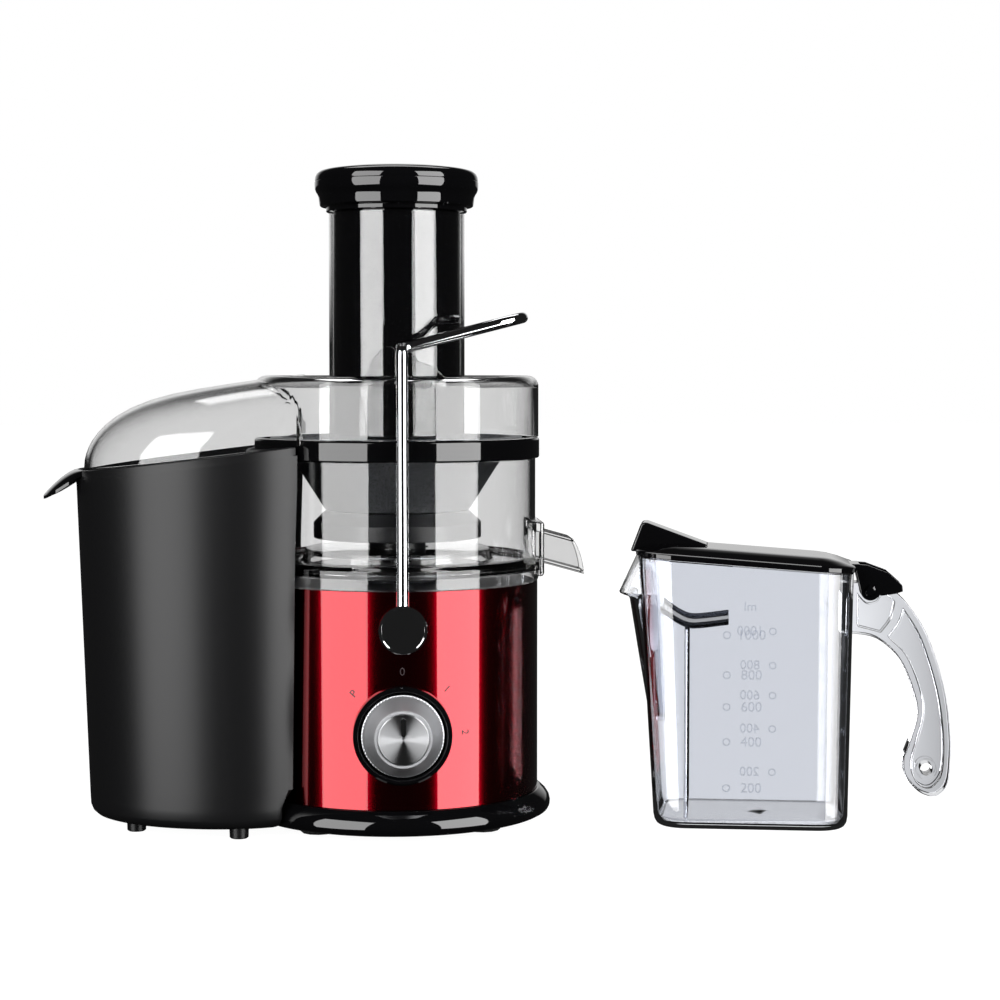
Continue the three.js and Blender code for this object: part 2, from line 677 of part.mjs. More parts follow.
addFeet(base);
addPart(base, "bottom_plate", bottomPlate(), SATIN_BLACK);
addPart(base, "base_skirt", baseSkirt(), GLOSS_BLACK);
addPart(base, "red_shell", redShell(), RED_LACQUER);
addPart(base, "motor_deck", motorDeck(), SATIN_BLACK);
addPart(base, "cord_gland", cordGland(), RUBBER);
addPart(base, "latch_pin_front", latchPin("front"), STEEL);
addPart(base, "latch_pin_back", latchPin("back"), STEEL);
addPart(base, "knob_bezel", knobBezel(), GLOSS_BLACK);
addPart(base, "rotary_switch", box(-16, 16, -60, -44, KNOB_HEIGHT - 15, KNOB_HEIGHT + 15), SATIN_BLACK);
addPart(base, "speed_board", box(-28, 28, 44, 46, 34, 84), BOARD);
addPart(base, "interlock_switch", box(-8, 8, -73.5, -62, 112, 128), SATIN_BLACK);
addMotor(base, rotor);
addPart(base, "juice_bowl", juiceBowl(), CLEAR);
addPart(base, "bowl_rim_ring", ring(79, RING_RADIUS, BOWL_HIGH + GAP, RING_HIGH), GLOSS_BLACK);
addPart(base, "juice_spout", juiceSpout(), CLEAR);

addPart(rotor, "basket_hub", basketHub(), SATIN_BLACK);
addPart(rotor, "filter_basket", filterBasket(), STEEL);
addPart(rotor, "grater_disc", graterDisc(), STEEL);

addPart(latch, "latch_bail", latchBail(), CHROME);
addPart(latch, "latch_hub_front", latchHub("front"), CHROME);
addPart(latch, "latch_hub_back", latchHub("back"), CHROME);

addPart(cover, "lid", lid(), CLEAR);
addPart(pusher, "pusher_body", pusherBody(), GLOSS_BLACK);
addPart(pusher, "pusher_cap", pusherCap(), GLOSS_BLACK);

addPart(knob, "control_knob", controlKnob(), CHROME);
addPart(knob, "knob_face", knobFace(), STEEL);
addPart(knob, "knob_shaft", knobShaft(), STEEL);

addPart(product, "pulp_container", pulpContainer(), SATIN_BLACK);

jug.position.copy(JUG_PLACE);
jug.rotation.z = JUG_TURN;
addPart(jug, "jug_body", jugBody(), CLEAR);
addPart(jug, "froth_separator", frothSeparator(), CLEAR);
addPart(jug, "jug_lid", jugLid(), GLOSS_BLACK);
addPart(jug, "jug_hinge_pin", jugHingePin(), GLOSS_BLACK);

const extent = new THREE.Box3().setFromObject(product, true);
product.position.set(-(extent.min.x + extent.max.x) / 2, -(extent.min.y + extent.max.y) / 2, 0);

const juicer = new THREE.Group();
juicer.add(product);
export default juicer;
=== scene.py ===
# The looks of a centrifugal juicer with its pulp container and juice jug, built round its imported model.
# Pieces are made in millimetres about the motor axis, or about the jug's own axis, and then settled into
# the model's frame, in metres.
import math

import bmesh
import bpy
from mathutils import Matrix, Vector, kdtree


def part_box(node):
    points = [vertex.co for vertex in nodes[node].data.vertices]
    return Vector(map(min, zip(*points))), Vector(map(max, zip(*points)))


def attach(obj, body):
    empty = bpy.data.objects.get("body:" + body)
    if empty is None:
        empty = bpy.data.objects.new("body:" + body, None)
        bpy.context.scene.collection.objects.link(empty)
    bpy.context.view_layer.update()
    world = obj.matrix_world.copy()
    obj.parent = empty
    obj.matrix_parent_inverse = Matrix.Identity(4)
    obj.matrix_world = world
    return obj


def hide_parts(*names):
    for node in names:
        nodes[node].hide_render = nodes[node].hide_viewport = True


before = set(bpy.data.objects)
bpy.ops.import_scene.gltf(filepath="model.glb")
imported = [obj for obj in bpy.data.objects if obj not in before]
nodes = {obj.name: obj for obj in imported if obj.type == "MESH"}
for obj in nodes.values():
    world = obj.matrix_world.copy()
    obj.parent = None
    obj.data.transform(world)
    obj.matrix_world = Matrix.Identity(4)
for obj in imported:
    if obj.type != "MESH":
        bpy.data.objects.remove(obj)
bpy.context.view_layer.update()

# ---------- driving dimensions, in millimetres ----------
MM = 0.001
TAU = 2 * math.pi
GAP = 0.3


def middle(node):
    low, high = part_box(node)
    return (low + high) / 2


def height_of(node, which):
    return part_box(node)[which].z / MM


SHAFT = middle("motor_shaft")
PRODUCT_PLACE = Vector((SHAFT.x, SHAFT.y, 0))
SHELL_RADIUS = 82
SHELL_LOW = height_of("red_shell", 0)
SHELL_HIGH = height_of("red_shell", 1)
BOWL_RADIUS = 80.7
BOWL_HIGH = height_of("juice_bowl", 1)
RING_HIGH = height_of("bowl_rim_ring", 1)
LID_RADIUS = 82.5
LID_LOW = RING_HIGH + 0.4
LID_HIGH = 258.5
CHUTE_RADIUS = 39.4
CHUTE_HIGH = height_of("lid", 1)
CAP_HIGH = height_of("pusher_cap", 1)
PIVOT_HEIGHT = middle("latch_hub_front").z / MM
KNOB_HEIGHT = middle("knob_shaft").z / MM
ROD_HEIGHT = 273.6
HANDLE_REACH = 70
HANDLE_HEIGHT = 291.5

JUG_PLACE = PRODUCT_PLACE + Vector((205, -26, 0)) * MM
JUG_TURN = math.radians(-10)
JUG_PIN = (67.9, 135.2)
JUG_HALF_LENGTH = 57
JUG_HALF_WIDTH = 39
JUG_LEAN = 0.045
JUG_WALL = 1.9
FLANGE_RADIUS = 82.5
BIN_CENTRE = -95
BIN_LEFT_EDGE = -186
BIN_SPACE = 85.8
BIN_FOOT_SPACE = 91.5
DIAL_REACH = 35

# ---------- light levels ----------
GLASS_FLAG = 0.06  # the dark flags that clear plastic sees
GLASS_SLANT = 0.5  # what it sees between them and overhead
TOPS_LEVEL = 0.8  # the backdrop just above the horizon, for polished tops
MIRROR_LEVEL = 0.015  # the room in all other reflections
FILL_LEVEL = 0.25  # the room for diffuse light
LAMP_POWER = 70  # each softbox, in watts


# ---------- making pieces ----------
def deselect_all():
    if bpy.context.mode != "OBJECT":
        bpy.ops.object.mode_set(mode="OBJECT")
    bpy.ops.object.select_all(action="DESELECT")


def choose(piece):
    deselect_all()
    piece.select_set(True)
    bpy.context.view_layer.objects.active = piece


def outline(name, points):
    """A closed line through points: a circle whose vertices are moved into place."""
    deselect_all()
    bpy.ops.mesh.primitive_circle_add(vertices=len(points), radius=1)
    piece = bpy.context.active_object
    piece.name = name
    piece.data.name = name
    for vertex, point in zip(piece.data.vertices, points):
        vertex.co = point
    return piece


def edit_all(piece):
    choose(piece)
    bpy.ops.object.mode_set(mode="EDIT")
    bpy.ops.mesh.select_all(action="SELECT")


def close_skin(piece):
    edit_all(piece)
    bpy.ops.mesh.remove_doubles(threshold=0.002)
    bpy.ops.mesh.delete_loose(use_verts=True, use_edges=True, use_faces=False)
    bpy.ops.mesh.select_all(action="SELECT")
    bpy.ops.mesh.normals_make_consistent(inside=False)
    bpy.ops.object.mode_set(mode="OBJECT")


def bevelled(piece, width, segments=2, angle=30):
    choose(piece)
    bevel = piece.modifiers.new("edges", "BEVEL")
    bevel.width = width
    bevel.segments = segments
    bevel.limit_method = "ANGLE"
    bevel.angle_limit = math.radians(angle)
    bevel.use_clamp_overlap = True
    bpy.ops.object.modifier_apply(modifier=bevel.name)
    return piece


def combined(piece, operation, others):
    for other in others:
        choose(piece)
        boolean = piece.modifiers.new("boolean", "BOOLEAN")
        boolean.operation = operation
        boolean.solver = "MANIFOLD"
        boolean.object = other
        bpy.ops.object.modifier_apply(modifier=boolean.name)
        bpy.data.objects.remove(other)
    return piece


def cut(piece, *cutters):
    return combined(piece, "DIFFERENCE", cutters)


def fused(piece, *others):
    return combined(piece, "UNION", others)


def turned(name, profile, axis="Z", centre=(0, 0, 0), steps=128):
    """A closed profile of (radius, height) pairs spun right round an axis."""
    x, y, z = centre
    if axis == "Z":
        points = [(x + radius, y, z + height) for radius, height in profile]
        direction = (0, 0, 1)
    else:
        points = [(x + radius, y + height, z) for radius, height in profile]
        direction = (0, 1, 0)
    piece = outline(name, points)
    edit_all(piece)
    bpy.ops.mesh.spin(steps=steps, angle=TAU, center=centre, axis=direction)
    bpy.ops.object.mode_set(mode="OBJECT")
    close_skin(piece)
    return piece


def disc(name, radius, low, high, axis="Z", centre=(0, 0, 0), steps=64):
    profile = [(0, low), (radius, low), (radius, high), (0, high)]
    return turned(name, profile, axis, centre, steps)


def plate(name, points, low, high, axis="Z"):
    """A flat outline of (x, y) pairs, or (x, z) pairs along the Y axis, made thick from low to high."""
    if axis == "Z":
        piece = outline(name, [(x, y, low) for x, y in points])
        step = (0, 0, high - low)
    else:
        piece = outline(name, [(x, low, z) for x, z in points])
        step = (0, high - low, 0)
    edit_all(piece)
    bpy.ops.mesh.edge_face_add()
    bpy.ops.mesh.extrude_region_move(TRANSFORM_OT_translate={"value": step})
    bpy.ops.object.mode_set(mode="OBJECT")
    close_skin(piece)
    return piece


def lofted(name, rings):
    """A closed skin: the first ring is filled, then extruded from ring to ring."""
    piece = outline(name, rings[0])
    edit_all(piece)
    bpy.ops.mesh.edge_face_add()
    for below, ring in zip(rings, rings[1:]):
        bpy.ops.mesh.extrude_region()
        tree = kdtree.KDTree(len(below))
        for i, point in enumerate(below):
            tree.insert(point, i)
        tree.balance()
        skin = bmesh.from_edit_mesh(piece.data)
        for vertex in [v for v in skin.verts if v.select]:
            vertex.co = ring[tree.find(vertex.co)[1]]
        bmesh.update_edit_mesh(piece.data)
    bpy.ops.object.mode_set(mode="OBJECT")
    close_skin(piece)
    return piece


def box(name, low, high):
    corners = [(low[0], low[1]), (high[0], low[1]), (high[0], high[1]), (low[0], high[1])]
    return plate(name, corners, low[2], high[2])


def circle(x, y, radius, count):
    angles = [i / count * TAU for i in range(count)]
    return [(x + radius * math.cos(a), y + radius * math.sin(a)) for a in angles]


def smooth_line(points, steps=6):
    """A line through points that bends smoothly between them."""
    line = []
    for i in range(len(points) - 1):
        before = Vector(points[max(i - 1, 0)])
        start, end = Vector(points[i]), Vector(points[i + 1])
        after = Vector(points[min(i + 2, len(points) - 1)])
        for step in range(steps):
            t = step / steps
            bend = (2 * before - 5 * start + 4 * end - after) * t * t
            twist = (3 * start - before - 3 * end + after) * t * t * t
            line.append(start + 0.5 * ((end - before) * t + bend + twist))
    line.append(Vector(points[-1]))
    return line


def bent_path(points, bends, steps=8):
    """Straight runs with round corners."""
    path = [Vector(points[0])]
    for i, bend in enumerate(bends):
        corner = Vector(points[i + 1])
        start = corner + (Vector(points[i]) - corner).normalized() * bend
        end = corner + (Vector(points[i + 2]) - corner).normalized() * bend
        for step in range(steps + 1):
            t = step / steps
            path.append((1 - t) ** 2 * start + 2 * t * (1 - t) * corner + t * t * end)
    path.append(Vector(points[-1]))
    return path


def rod(name, path, radii, sides=24):
    """A round bar along a path, with a radius for each of its points."""
    rings = []
    side = Vector((1, 0, 0))
    for i, point in enumerate(path):
        along = (path[min(i + 1, len(path) - 1)] - path[max(i - 1, 0)]).normalized()
        side = (side - along * side.dot(along)).normalized()
        other = along.cross(side)
        rings.append([
            point + radii[i] * (math.cos(a) * side + math.sin(a) * other)
            for a in [k / sides * TAU for k in range(sides)]
        ])
    return lofted(name, rings)


def settle(piece, place, turn, angle):
    """Smooths a piece and applies its scale to metres and its place to its mesh."""
    choose(piece)
    bpy.ops.object.shade_smooth_by_angle(angle=math.radians(angle))
    piece.scale = (MM, MM, MM)
    piece.rotation_euler = (0, 0, turn)
    piece.location = place
    bpy.ops.object.transform_apply(location=True, rotation=True, scale=True)
    weighted = piece.modifiers.new("normals", "WEIGHTED_NORMAL")
    weighted.keep_sharp = True
    weighted.weight = 90
    bpy.ops.object.modifier_apply(modifier=weighted.name)
    return piece


def finished(piece, material, body, replaced=(), jug=False, angle=35):
    if jug:
        settle(piece, JUG_PLACE, JUG_TURN, angle)
    else:
        settle(piece, PRODUCT_PLACE, 0.0, angle)
    piece.data.materials.clear()
    piece.data.materials.append(material)
    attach(piece, body)
    if replaced:
        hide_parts(*replaced)
    return piece


# ---------- materials ----------
def colour(hex_code):
    """An sRGB hex colour as linear red, green, blue and alpha."""
    parts = [int(hex_code[i:i + 2], 16) / 255 for i in (1, 3, 5)]
    return [c / 12.92 if c <= 0.04045 else ((c + 0.055) / 1.055) ** 2.4 for c in parts] + [1]


def add_node(material, kind, settings=None, **links):
    """Adds a node, with its settings by socket name or property, and links from other nodes' outputs."""
    node = material.node_tree.nodes.new(kind)
    for key, value in (settings or {}).items():
        if key in node.inputs:
            node.inputs[key].default_value = value
        else:
            setattr(node, key, value)
    for key, source in links.items():
        target = node.inputs[int(key[1:])] if key[1:].isdigit() else node.inputs[key.replace("_", " ")]
        material.node_tree.links.new(source, target)
    return node


def surface(name, **settings):
    """A material with a Principled surface. Returns the material and its surface node."""
    material = bpy.data.materials.new(name)
    material.use_nodes = True
    shader = material.node_tree.nodes["Principled BSDF"]
    for key, value in settings.items():
        shader.inputs[key.replace("_", " ")].default_value = value
    return material, shader


def grain(material, shader, scale_mm, strength, rough=None, distance=0.00005):
    """A fine moulded or rolled texture: a bump, and a roughness that wanders with it."""
    place = add_node(material, "ShaderNodeTexCoord")
    noise = add_node(
        material, "ShaderNodeTexNoise", {"Scale": 1 / (scale_mm * MM), "Detail": 3.0},
        Vector=place.outputs["Object"],
    )
    bump = add_node(
        material, "ShaderNodeBump", {"Strength": strength, "Distance": distance},
        Height=noise.outputs["Fac"],
    )
    material.node_tree.links.new(bump.outputs["Normal"], shader.inputs["Normal"])
    if rough:
        wander = add_node(
            material, "ShaderNodeMapRange", {"To Min": rough[0], "To Max": rough[1]},
            Value=noise.outputs["Fac"],
        )
        material.node_tree.links.new(wander.outputs["Result"], shader.inputs["Roughness"])
    return noise


def red_lacquer():
    """Candy lacquer over bright steel: a deep red mirror under a clear coat that adds pink."""
    material, shader = surface(
        "candy_red_lacquer_on_steel", Base_Color=colour("#74000C"), Metallic=1.0, Roughness=0.15,
        Coat_Weight=1.0, Coat_Roughness=0.01, Coat_IOR=1.39,
    )
    place = add_node(material, "ShaderNodeTexCoord")
    stretch = add_node(
        material, "ShaderNodeMapping", {"Scale": (1, 1, 0.02)}, Vector=place.outputs["Object"],
    )
    noise = add_node(
        material, "ShaderNodeTexNoise", {"Scale": 1600.0, "Detail": 2.0}, Vector=stretch.outputs[0],
    )
    wander = add_node(
        material, "ShaderNodeMapRange", {"To Min": 0.12, "To Max": 0.17}, Value=noise.outputs["Fac"],
    )
    material.node_tree.links.new(wander.outputs["Result"], shader.inputs["Roughness"])
    return material


def gloss_black():
    """Polished ABS: nearly black, a sharp reflection, and faint flow marks."""
    material, shader = surface(
        "polished_black_abs", Base_Color=colour("#060607"), Roughness=0.04, IOR=1.54,
    )
    grain(material, shader, 9, 0.02, (0.02, 0.05))
    return material


def satin_black():
    """Spark-eroded ABS: black with a fine grain that spreads the light."""
    material, shader = surface(
        "satin_black_abs", Base_Color=colour("#0F0F10"), Roughness=0.33, IOR=1.36,
    )
    grain(material, shader, 0.5, 0.1, (0.29, 0.38), 0.00003)
    return material


def clear_plastic(name, tint):
    """Clear styrene acrylonitrile: glass-like, a little grey, with light passing to what is inside."""
    material, shader = surface(
        name, Base_Color=colour(tint), Roughness=0.0, IOR=1.5, Transmission_Weight=1.0,
    )
    place = add_node(material, "ShaderNodeTexCoord")
    noise = add_node(
        material, "ShaderNodeTexNoise", {"Scale": 45.0, "Detail": 1.0}, Vector=place.outputs["Object"],
    )
    wander = add_node(
        material, "ShaderNodeMapRange", {"To Min": 0.0, "To Max": 0.035}, Value=noise.outputs["Fac"],
    )
    material.node_tree.links.new(wander.outputs["Result"], shader.inputs["Roughness"])
    path = add_node(material, "ShaderNodeLightPath")
    soft = add_node(
        material, "ShaderNodeMath", {"operation": "MAXIMUM"},
        _0=path.outputs["Is Shadow Ray"], _1=path.outputs["Is Diffuse Ray"],
    )
    through = add_node(material, "ShaderNodeBsdfTransparent", {"Color": colour("#E6E8EA")})
    mix = add_node(
        material, "ShaderNodeMixShader", None,
        _0=soft.outputs[0], _1=shader.outputs[0], _2=through.outputs[0],
    )
    out = material.node_tree.nodes["Material Output"]
    material.node_tree.links.new(mix.outputs[0], out.inputs["Surface"])
    return material


def chrome():
    """Chromium plate on a polished bar: a mirror with a little orange peel."""
    material, shader = surface(
        "bright_chrome_plate", Base_Color=colour("#DCDDDF"), Metallic=1.0, Roughness=0.04,
    )
    grain(material, shader, 4, 0.03, (0.03, 0.06))
    return material


def knurled_chrome():
    """Satin chrome on a knurled moulding: the diamonds break the light into a fine glitter."""
    material, shader = surface(
        "satin_chrome_knurling", Base_Color=colour("#D8D9DC"), Metallic=1.0, Roughness=0.5,
    )
    grain(material, shader, 0.7, 0.05, (0.42, 0.58))
    return material


def brushed_steel():
    """Rolled stainless sheet: fine lines and a soft sheen."""
    material, shader = surface(
        "rolled_stainless_sheet", Base_Color=colour("#B9BBBE"), Metallic=1.0, Roughness=0.3,
    )
    grain(material, shader, 0.6, 0.1, (0.24, 0.36))
    return material


def spun_steel():
    """Aluminium face turned on a lathe: fine circles that draw the light into a bow tie."""
    material, shader = surface(
        "lathe_turned_aluminium", Base_Color=colour("#C9CACC"), Metallic=1.0, Roughness=0.3,
        Anisotropic=0.98, Anisotropic_Rotation=0.25,
    )
    tangent = add_node(material, "ShaderNodeTangent", {"direction_type": "RADIAL", "axis": "Y"})
    material.node_tree.links.new(tangent.outputs[0], shader.inputs["Tangent"])
    return material


def mesh_steel():
    """Etched stainless filter sheet: fine dark holes 0.7 mm apart that dull the steel."""
    material, shader = surface(
        "etched_filter_sheet", Base_Color=colour("#A9ABAE"), Metallic=1.0, Roughness=0.35,
    )
    place = add_node(material, "ShaderNodeTexCoord")
    cells = add_node(
        material, "ShaderNodeTexVoronoi", {"Scale": 1 / (0.7 * MM)}, Vector=place.outputs["Object"],
    )
    hole = add_node(
        material, "ShaderNodeMapRange", {"From Min": 0.25, "From Max": 0.4},
        Value=cells.outputs["Distance"],
    )
    mix = add_node(
        material, "ShaderNodeMix", {"data_type": "RGBA"}, Factor=hole.outputs["Result"],
    )
    mix.inputs[6].default_value = colour("#1C1D1F")
    mix.inputs[7].default_value = colour("#8E9093")
    material.node_tree.links.new(mix.outputs[2], shader.inputs["Base Color"])
    return material


def plain(name, hex_code, roughness, metallic, scale_mm, strength):
    """A simple finish for pieces inside the housing, with its own grain."""
    material, shader = surface(
        name, Base_Color=colour(hex_code), Roughness=roughness, Metallic=metallic,
    )
    grain(material, shader, scale_mm, strength, (roughness * 0.85, min(1, roughness * 1.15)))
    return material


RED = red_lacquer()
GLOSS_BLACK = gloss_black()
SATIN_BLACK = satin_black()
CLEAR = clear_plastic("clear_styrene_acrylonitrile", "#EFEFEF")
JUG_CLEAR = clear_plastic("clear_jug_plastic", "#EEF0F5")
SMOKED = clear_plastic("smoke_grey_jug_plastic", "#4A4D54")
CHROME = chrome()
KNURL = knurled_chrome()
STEEL = brushed_steel()
SPUN = spun_steel()
FILTER = mesh_steel()
RUBBER = plain("moulded_rubber", "#1B1B1B", 0.8, 0.0, 0.8, 0.3)
LAMINATION = plain("stacked_motor_steel", "#6B6D70", 0.5, 0.9, 0.5, 0.4)
COPPER = plain("enamelled_copper_wire", "#A5602E", 0.35, 1.0, 0.6, 0.6)
CARBON = plain("pressed_carbon", "#2A2A2C", 0.65, 0.1, 0.4, 0.3)
BOARD = plain("green_solder_mask", "#1F5A34", 0.45, 0.0, 2, 0.1)
PRINT = plain("grey_printed_ink", "#2A2022", 0.5, 0.0, 1, 0.05)

CAD_FINISHES = {
    "foot_": RUBBER, "motor_mount_": RUBBER, "shaft_seal": RUBBER, "cord_gland": RUBBER,
    "bottom_plate": SATIN_BLACK, "motor_deck": SATIN_BLACK, "rotary_switch": SATIN_BLACK,
    "interlock_switch": SATIN_BLACK, "brush_holder_": SATIN_BLACK, "cooling_fan": SATIN_BLACK,
    "drive_coupling": SATIN_BLACK, "stator_core": LAMINATION, "armature_core": LAMINATION,
    "armature_winding_": COPPER, "field_coil_": COPPER, "commutator": COPPER,
    "carbon_brush_": CARBON, "speed_board": BOARD,
}


def finish_cad_nodes():
    for name, node in nodes.items():
        found = [finish for start, finish in CAD_FINISHES.items() if name.startswith(start)]
        material = found[0] if found else STEEL
        node.data.materials.clear()
        node.data.materials.append(material)


# ---------- housing ----------
def make_housing():
    skirt = turned("base_skirt_ring", [
        (80, 4.5), (86.4, 4.5), (88.4, 5.6), (89.3, 7.4), (89.5, 9.5), (88.9, 12), (87.4, 14.4),
        (85.3, 16.4), (83.4, 18), (80, 18),
    ], steps=160)
    finished(bevelled(skirt, 0.3), GLOSS_BLACK, "base", ["base_skirt"])

    shell = turned("red_shell_skin", [
        (80.8, SHELL_LOW), (SHELL_RADIUS, SHELL_LOW), (SHELL_RADIUS, SHELL_HIGH), (80.8, SHELL_HIGH),
    ], steps=192)
    shell = cut(
        shell,
        disc("knob_hole", 6, -90, -40, "Y", (0, 0, KNOB_HEIGHT)),
        disc("pin_holes", 4.6, -90, 90, "Y", (0, 0, PIVOT_HEIGHT)),
        disc("cord_hole", 6, 40, 90, "Y", (0, 0, 32)),
    )
    finished(shell, RED, "base", ["red_shell"])

    gland_profile = [(3.5, 76), (5.6, 76), (5.6, 83.2), (8, 83.2)]
    for ridge in range(4):
        start = 84.6 + 3.2 * ridge
        radius = 7.6 - 0.4 * ridge
        gland_profile += [(radius, start), (radius, start + 2)]
        gland_profile += [(radius - 1, start + 2.2), (radius - 1, start + 3)]
    gland_profile += [(5.2, 98), (3.5, 98)]
    gland = turned("cord_gland_sleeve", gland_profile, "Y", (0, 0, 32), 48)
    finished(bevelled(gland, 0.2), RUBBER, "base", ["cord_gland"])

    pin_profile = [(0, 74), (4, 74), (4, 83), (8, 83), (8, 85.5), (4, 85.5), (4, 91.7), (0, 91.7)]
    for where, sign in (("front", -1), ("back", 1)):
        profile = [(r, sign * y) for r, y in pin_profile]
        pin = turned(f"latch_pin_{where}_turned", profile, "Y", (0, 0, PIVOT_HEIGHT), 48)
        finished(bevelled(pin, 0.4), STEEL, "base", [f"latch_pin_{where}"])


# ---------- knob ----------
def knurled_cone():
    """The knob's skirt, with diamond knurling between two plain edges."""
    teeth = 72
    levels = 12
    plain_rings = [(-85.7, 22.2), (-86.2, 22.8), (-87, 22.8)]
    knurl = [(-87.2 - 10.6 * k / (levels - 1), 22.7 - 6.1 * k / (levels - 1)) for k in range(levels)]
    front = [(-98.2, 16.2), (-98.8, 15.7), (-98.8, 14.4), (-98, 14.4)]
    rings = []
    for depth, radius in plain_rings + knurl + front:
        ring = []
        for i in range(teeth * 2):
            raised = (i + len(rings)) % 2 and (depth, radius) in knurl
            reach = radius - (0 if raised or (depth, radius) not in knurl else 0.8)
            angle = i / (teeth * 2) * TAU
            ring.append((reach * math.cos(angle), depth, KNOB_HEIGHT + reach * math.sin(angle)))
        rings.append(ring)
    return lofted("control_knob_cone", rings)


def pointer_outline(half):
    """The pointer's round-ended outline on the knob's face."""
    ends = circle(0, 3, half, 24)[12:] + circle(0, 10.6, half, 24)[:13]
    return [(x, KNOB_HEIGHT + z) for x, z in ends]


def make_knob():
    centre = (0, 0, KNOB_HEIGHT)
    bezel = turned("knob_bezel_dish", [
        (5, -76), (5, -85.3), (23.6, -85.3), (24.2, -87), (25, -88), (26.4, -88), (27.4, -87),
        (27.6, -85), (27.6, -74),
    ], "Y", centre, 96)
    bezel = cut(bezel, disc("housing_space", SHELL_RADIUS + GAP, 0, SHELL_HIGH, steps=192))
    finished(bezel, GLOSS_BLACK, "base", ["knob_bezel"])

    finished(knurled_cone(), KNURL, "knob", ["control_knob"], angle=12)

    face = turned("knob_face_disc", [
        (0, -98.3), (14.1, -98.3), (14.1, -99.5), (13.6, -100.05), (0, -100.05),
    ], "Y", centre, 96)
    face = cut(face, plate("pointer_space", pointer_outline(2.2), -101, -99.7, "Y"))
    finished(face, SPUN, "knob", ["knob_face"])
    inlay = plate("knob_pointer_inlay", pointer_outline(1.3), -99.95, -99.72, "Y")
    finished(inlay, CHROME, "knob")


def make_dial_marks():
    """The dial's generic marks, raised ink on the shell round the knob."""
    for text, turn in (("P", -50), ("0", 0), ("1", 45), ("2", 90)):
        angle = math.radians(turn)
        x = DIAL_REACH * math.sin(angle)
        z = KNOB_HEIGHT + DIAL_REACH * math.cos(angle)
        around = Matrix.Rotation(math.asin(x / SHELL_RADIUS), 4, "Z")
        out = Matrix.Translation((0, -SHELL_RADIUS - 0.07, z))
        upright = Matrix.Rotation(math.radians(90), 4, "X") @ Matrix.Rotation(-angle, 4, "Z")
        mark = placed(raised_text(f"dial_mark_{text}", text, 6.2, 0.06), around @ out @ upright)
        finished(mark, PRINT, "base")


# ---------- bowl and spout ----------
def spout_channel(name):
    return plate(name, [(60, 173.4), (60, 158.2), (114, 143.3), (114, 158.3)], -12, 12, "Y")


def make_bowl():
    bowl = turned("juice_bowl_clear", [
        (18, 155.6), (51.2, 155.6), (52.4, 154.6), (53.7, 148.6), (78, 148.6), (80.2, 146.2),
        (80.2, 140.2), (FLANGE_RADIUS, 140.2), (FLANGE_RADIUS, 150.6), (81.8, 151.8),
        (BOWL_RADIUS, 153), (BOWL_RADIUS, BOWL_HIGH),
        (78.4, BOWL_HIGH), (78.4, 154.5), (77.4, 152), (75.2, 150.9), (57, 150.9), (55.6, 151.6),
        (53.9, 157.4), (52.8, 158), (18, 158),
    ], steps=160)
    bowl = cut(bevelled(bowl, 0.25), spout_channel("channel"))
    finished(bowl, CLEAR, "base", ["juice_bowl"])

    ring = turned("bowl_rim_band", [
        (79, 211), (82.4, 211), (83, 211.7), (83, 221.6), (82.3, 222.7), (79, 222.9),
    ], steps=160)
    finished(bevelled(ring, 0.2), GLOSS_BLACK, "base", ["bowl_rim_ring"])

    lip = smooth_line([(101.8, 163.7), (105.2, 157.6), (107.5, 150), (108.6, 142.8)], 5)
    side = [(78, 170.4)] + [(p.x, p.y) for p in lip] + [(84, 149.6), (78, 151.3)]
    spout = plate("juice_spout_clear", side, -14, 14, "Y")
    flange = box("spout_flange", (76, -19, 142), (84.8, 19, 174))
    spout = fused(bevelled(spout, 1.2, 3), bevelled(flange, 2, 3))
    spout = cut(
        spout, spout_channel("channel"),
        disc("bowl_space", BOWL_RADIUS + GAP, 152.6, 190, steps=128),
        disc("flange_space", FLANGE_RADIUS + GAP, 130, 152.7, steps=128),
    )
    finished(spout, CLEAR, "base", ["juice_spout"])


# ---------- basket ----------
def make_basket():
    hub = turned("basket_hub_moulding", [
        (13.6, 152), (16.5, 152), (16.5, 174), (46.5, 172), (46.5, 164), (49, 164), (49, 173),
        (42, 179.9), (5, 179.9), (5, 170), (13.6, 170),
    ], steps=96)
    finished(bevelled(hub, 0.5), SATIN_BLACK, "rotor", ["basket_hub"])
    basket = turned("filter_basket_sheet", [
        (37, 180.2), (41.4, 180.2), (42.6, 181), (57.4, 204.6), (68.9, 221.6), (73.4, 221.6), (74, 222),
        (74, 222.8), (73.4, 223.2), (68, 223.2), (56.6, 205.4), (41.4, 181.4), (37, 181.4),
    ], steps=128)
    finished(basket, FILTER, "rotor", ["filter_basket"])
    grater = turned("grater_disc_plate", [
        (0, 181.7), (40.6, 181.7), (40.6, 183), (12, 183), (9, 184), (6, 186), (0, 186.5),
    ], steps=96)
    tooth = turned("tooth", [(0, 182.8), (1.5, 182.8), (0, 185.6)], centre=(0, 0, 0), steps=4)
    copies = []
    for circle_radius, count in ((17, 12), (24, 18), (31, 24), (37, 30)):
        for x, y in circle(0, 0, circle_radius, count):
            copy = tooth.copy()
            copy.data = tooth.data.copy()
            bpy.context.collection.objects.link(copy)
            copy.location = (x, y, 0)
            copies.append(copy)
    bpy.data.objects.remove(tooth)
    deselect_all()
    for copy in copies:
        copy.select_set(True)
    grater.select_set(True)
    bpy.context.view_layer.objects.active = grater
    bpy.ops.object.join()
    finished(grater, STEEL, "rotor", ["grater_disc"])


# ---------- lid ----------
def rim_height(x):
    """The height of the container's sloping rim, which the hood's edge follows."""
    return 204 + 0.12 * (x - BIN_LEFT_EDGE)


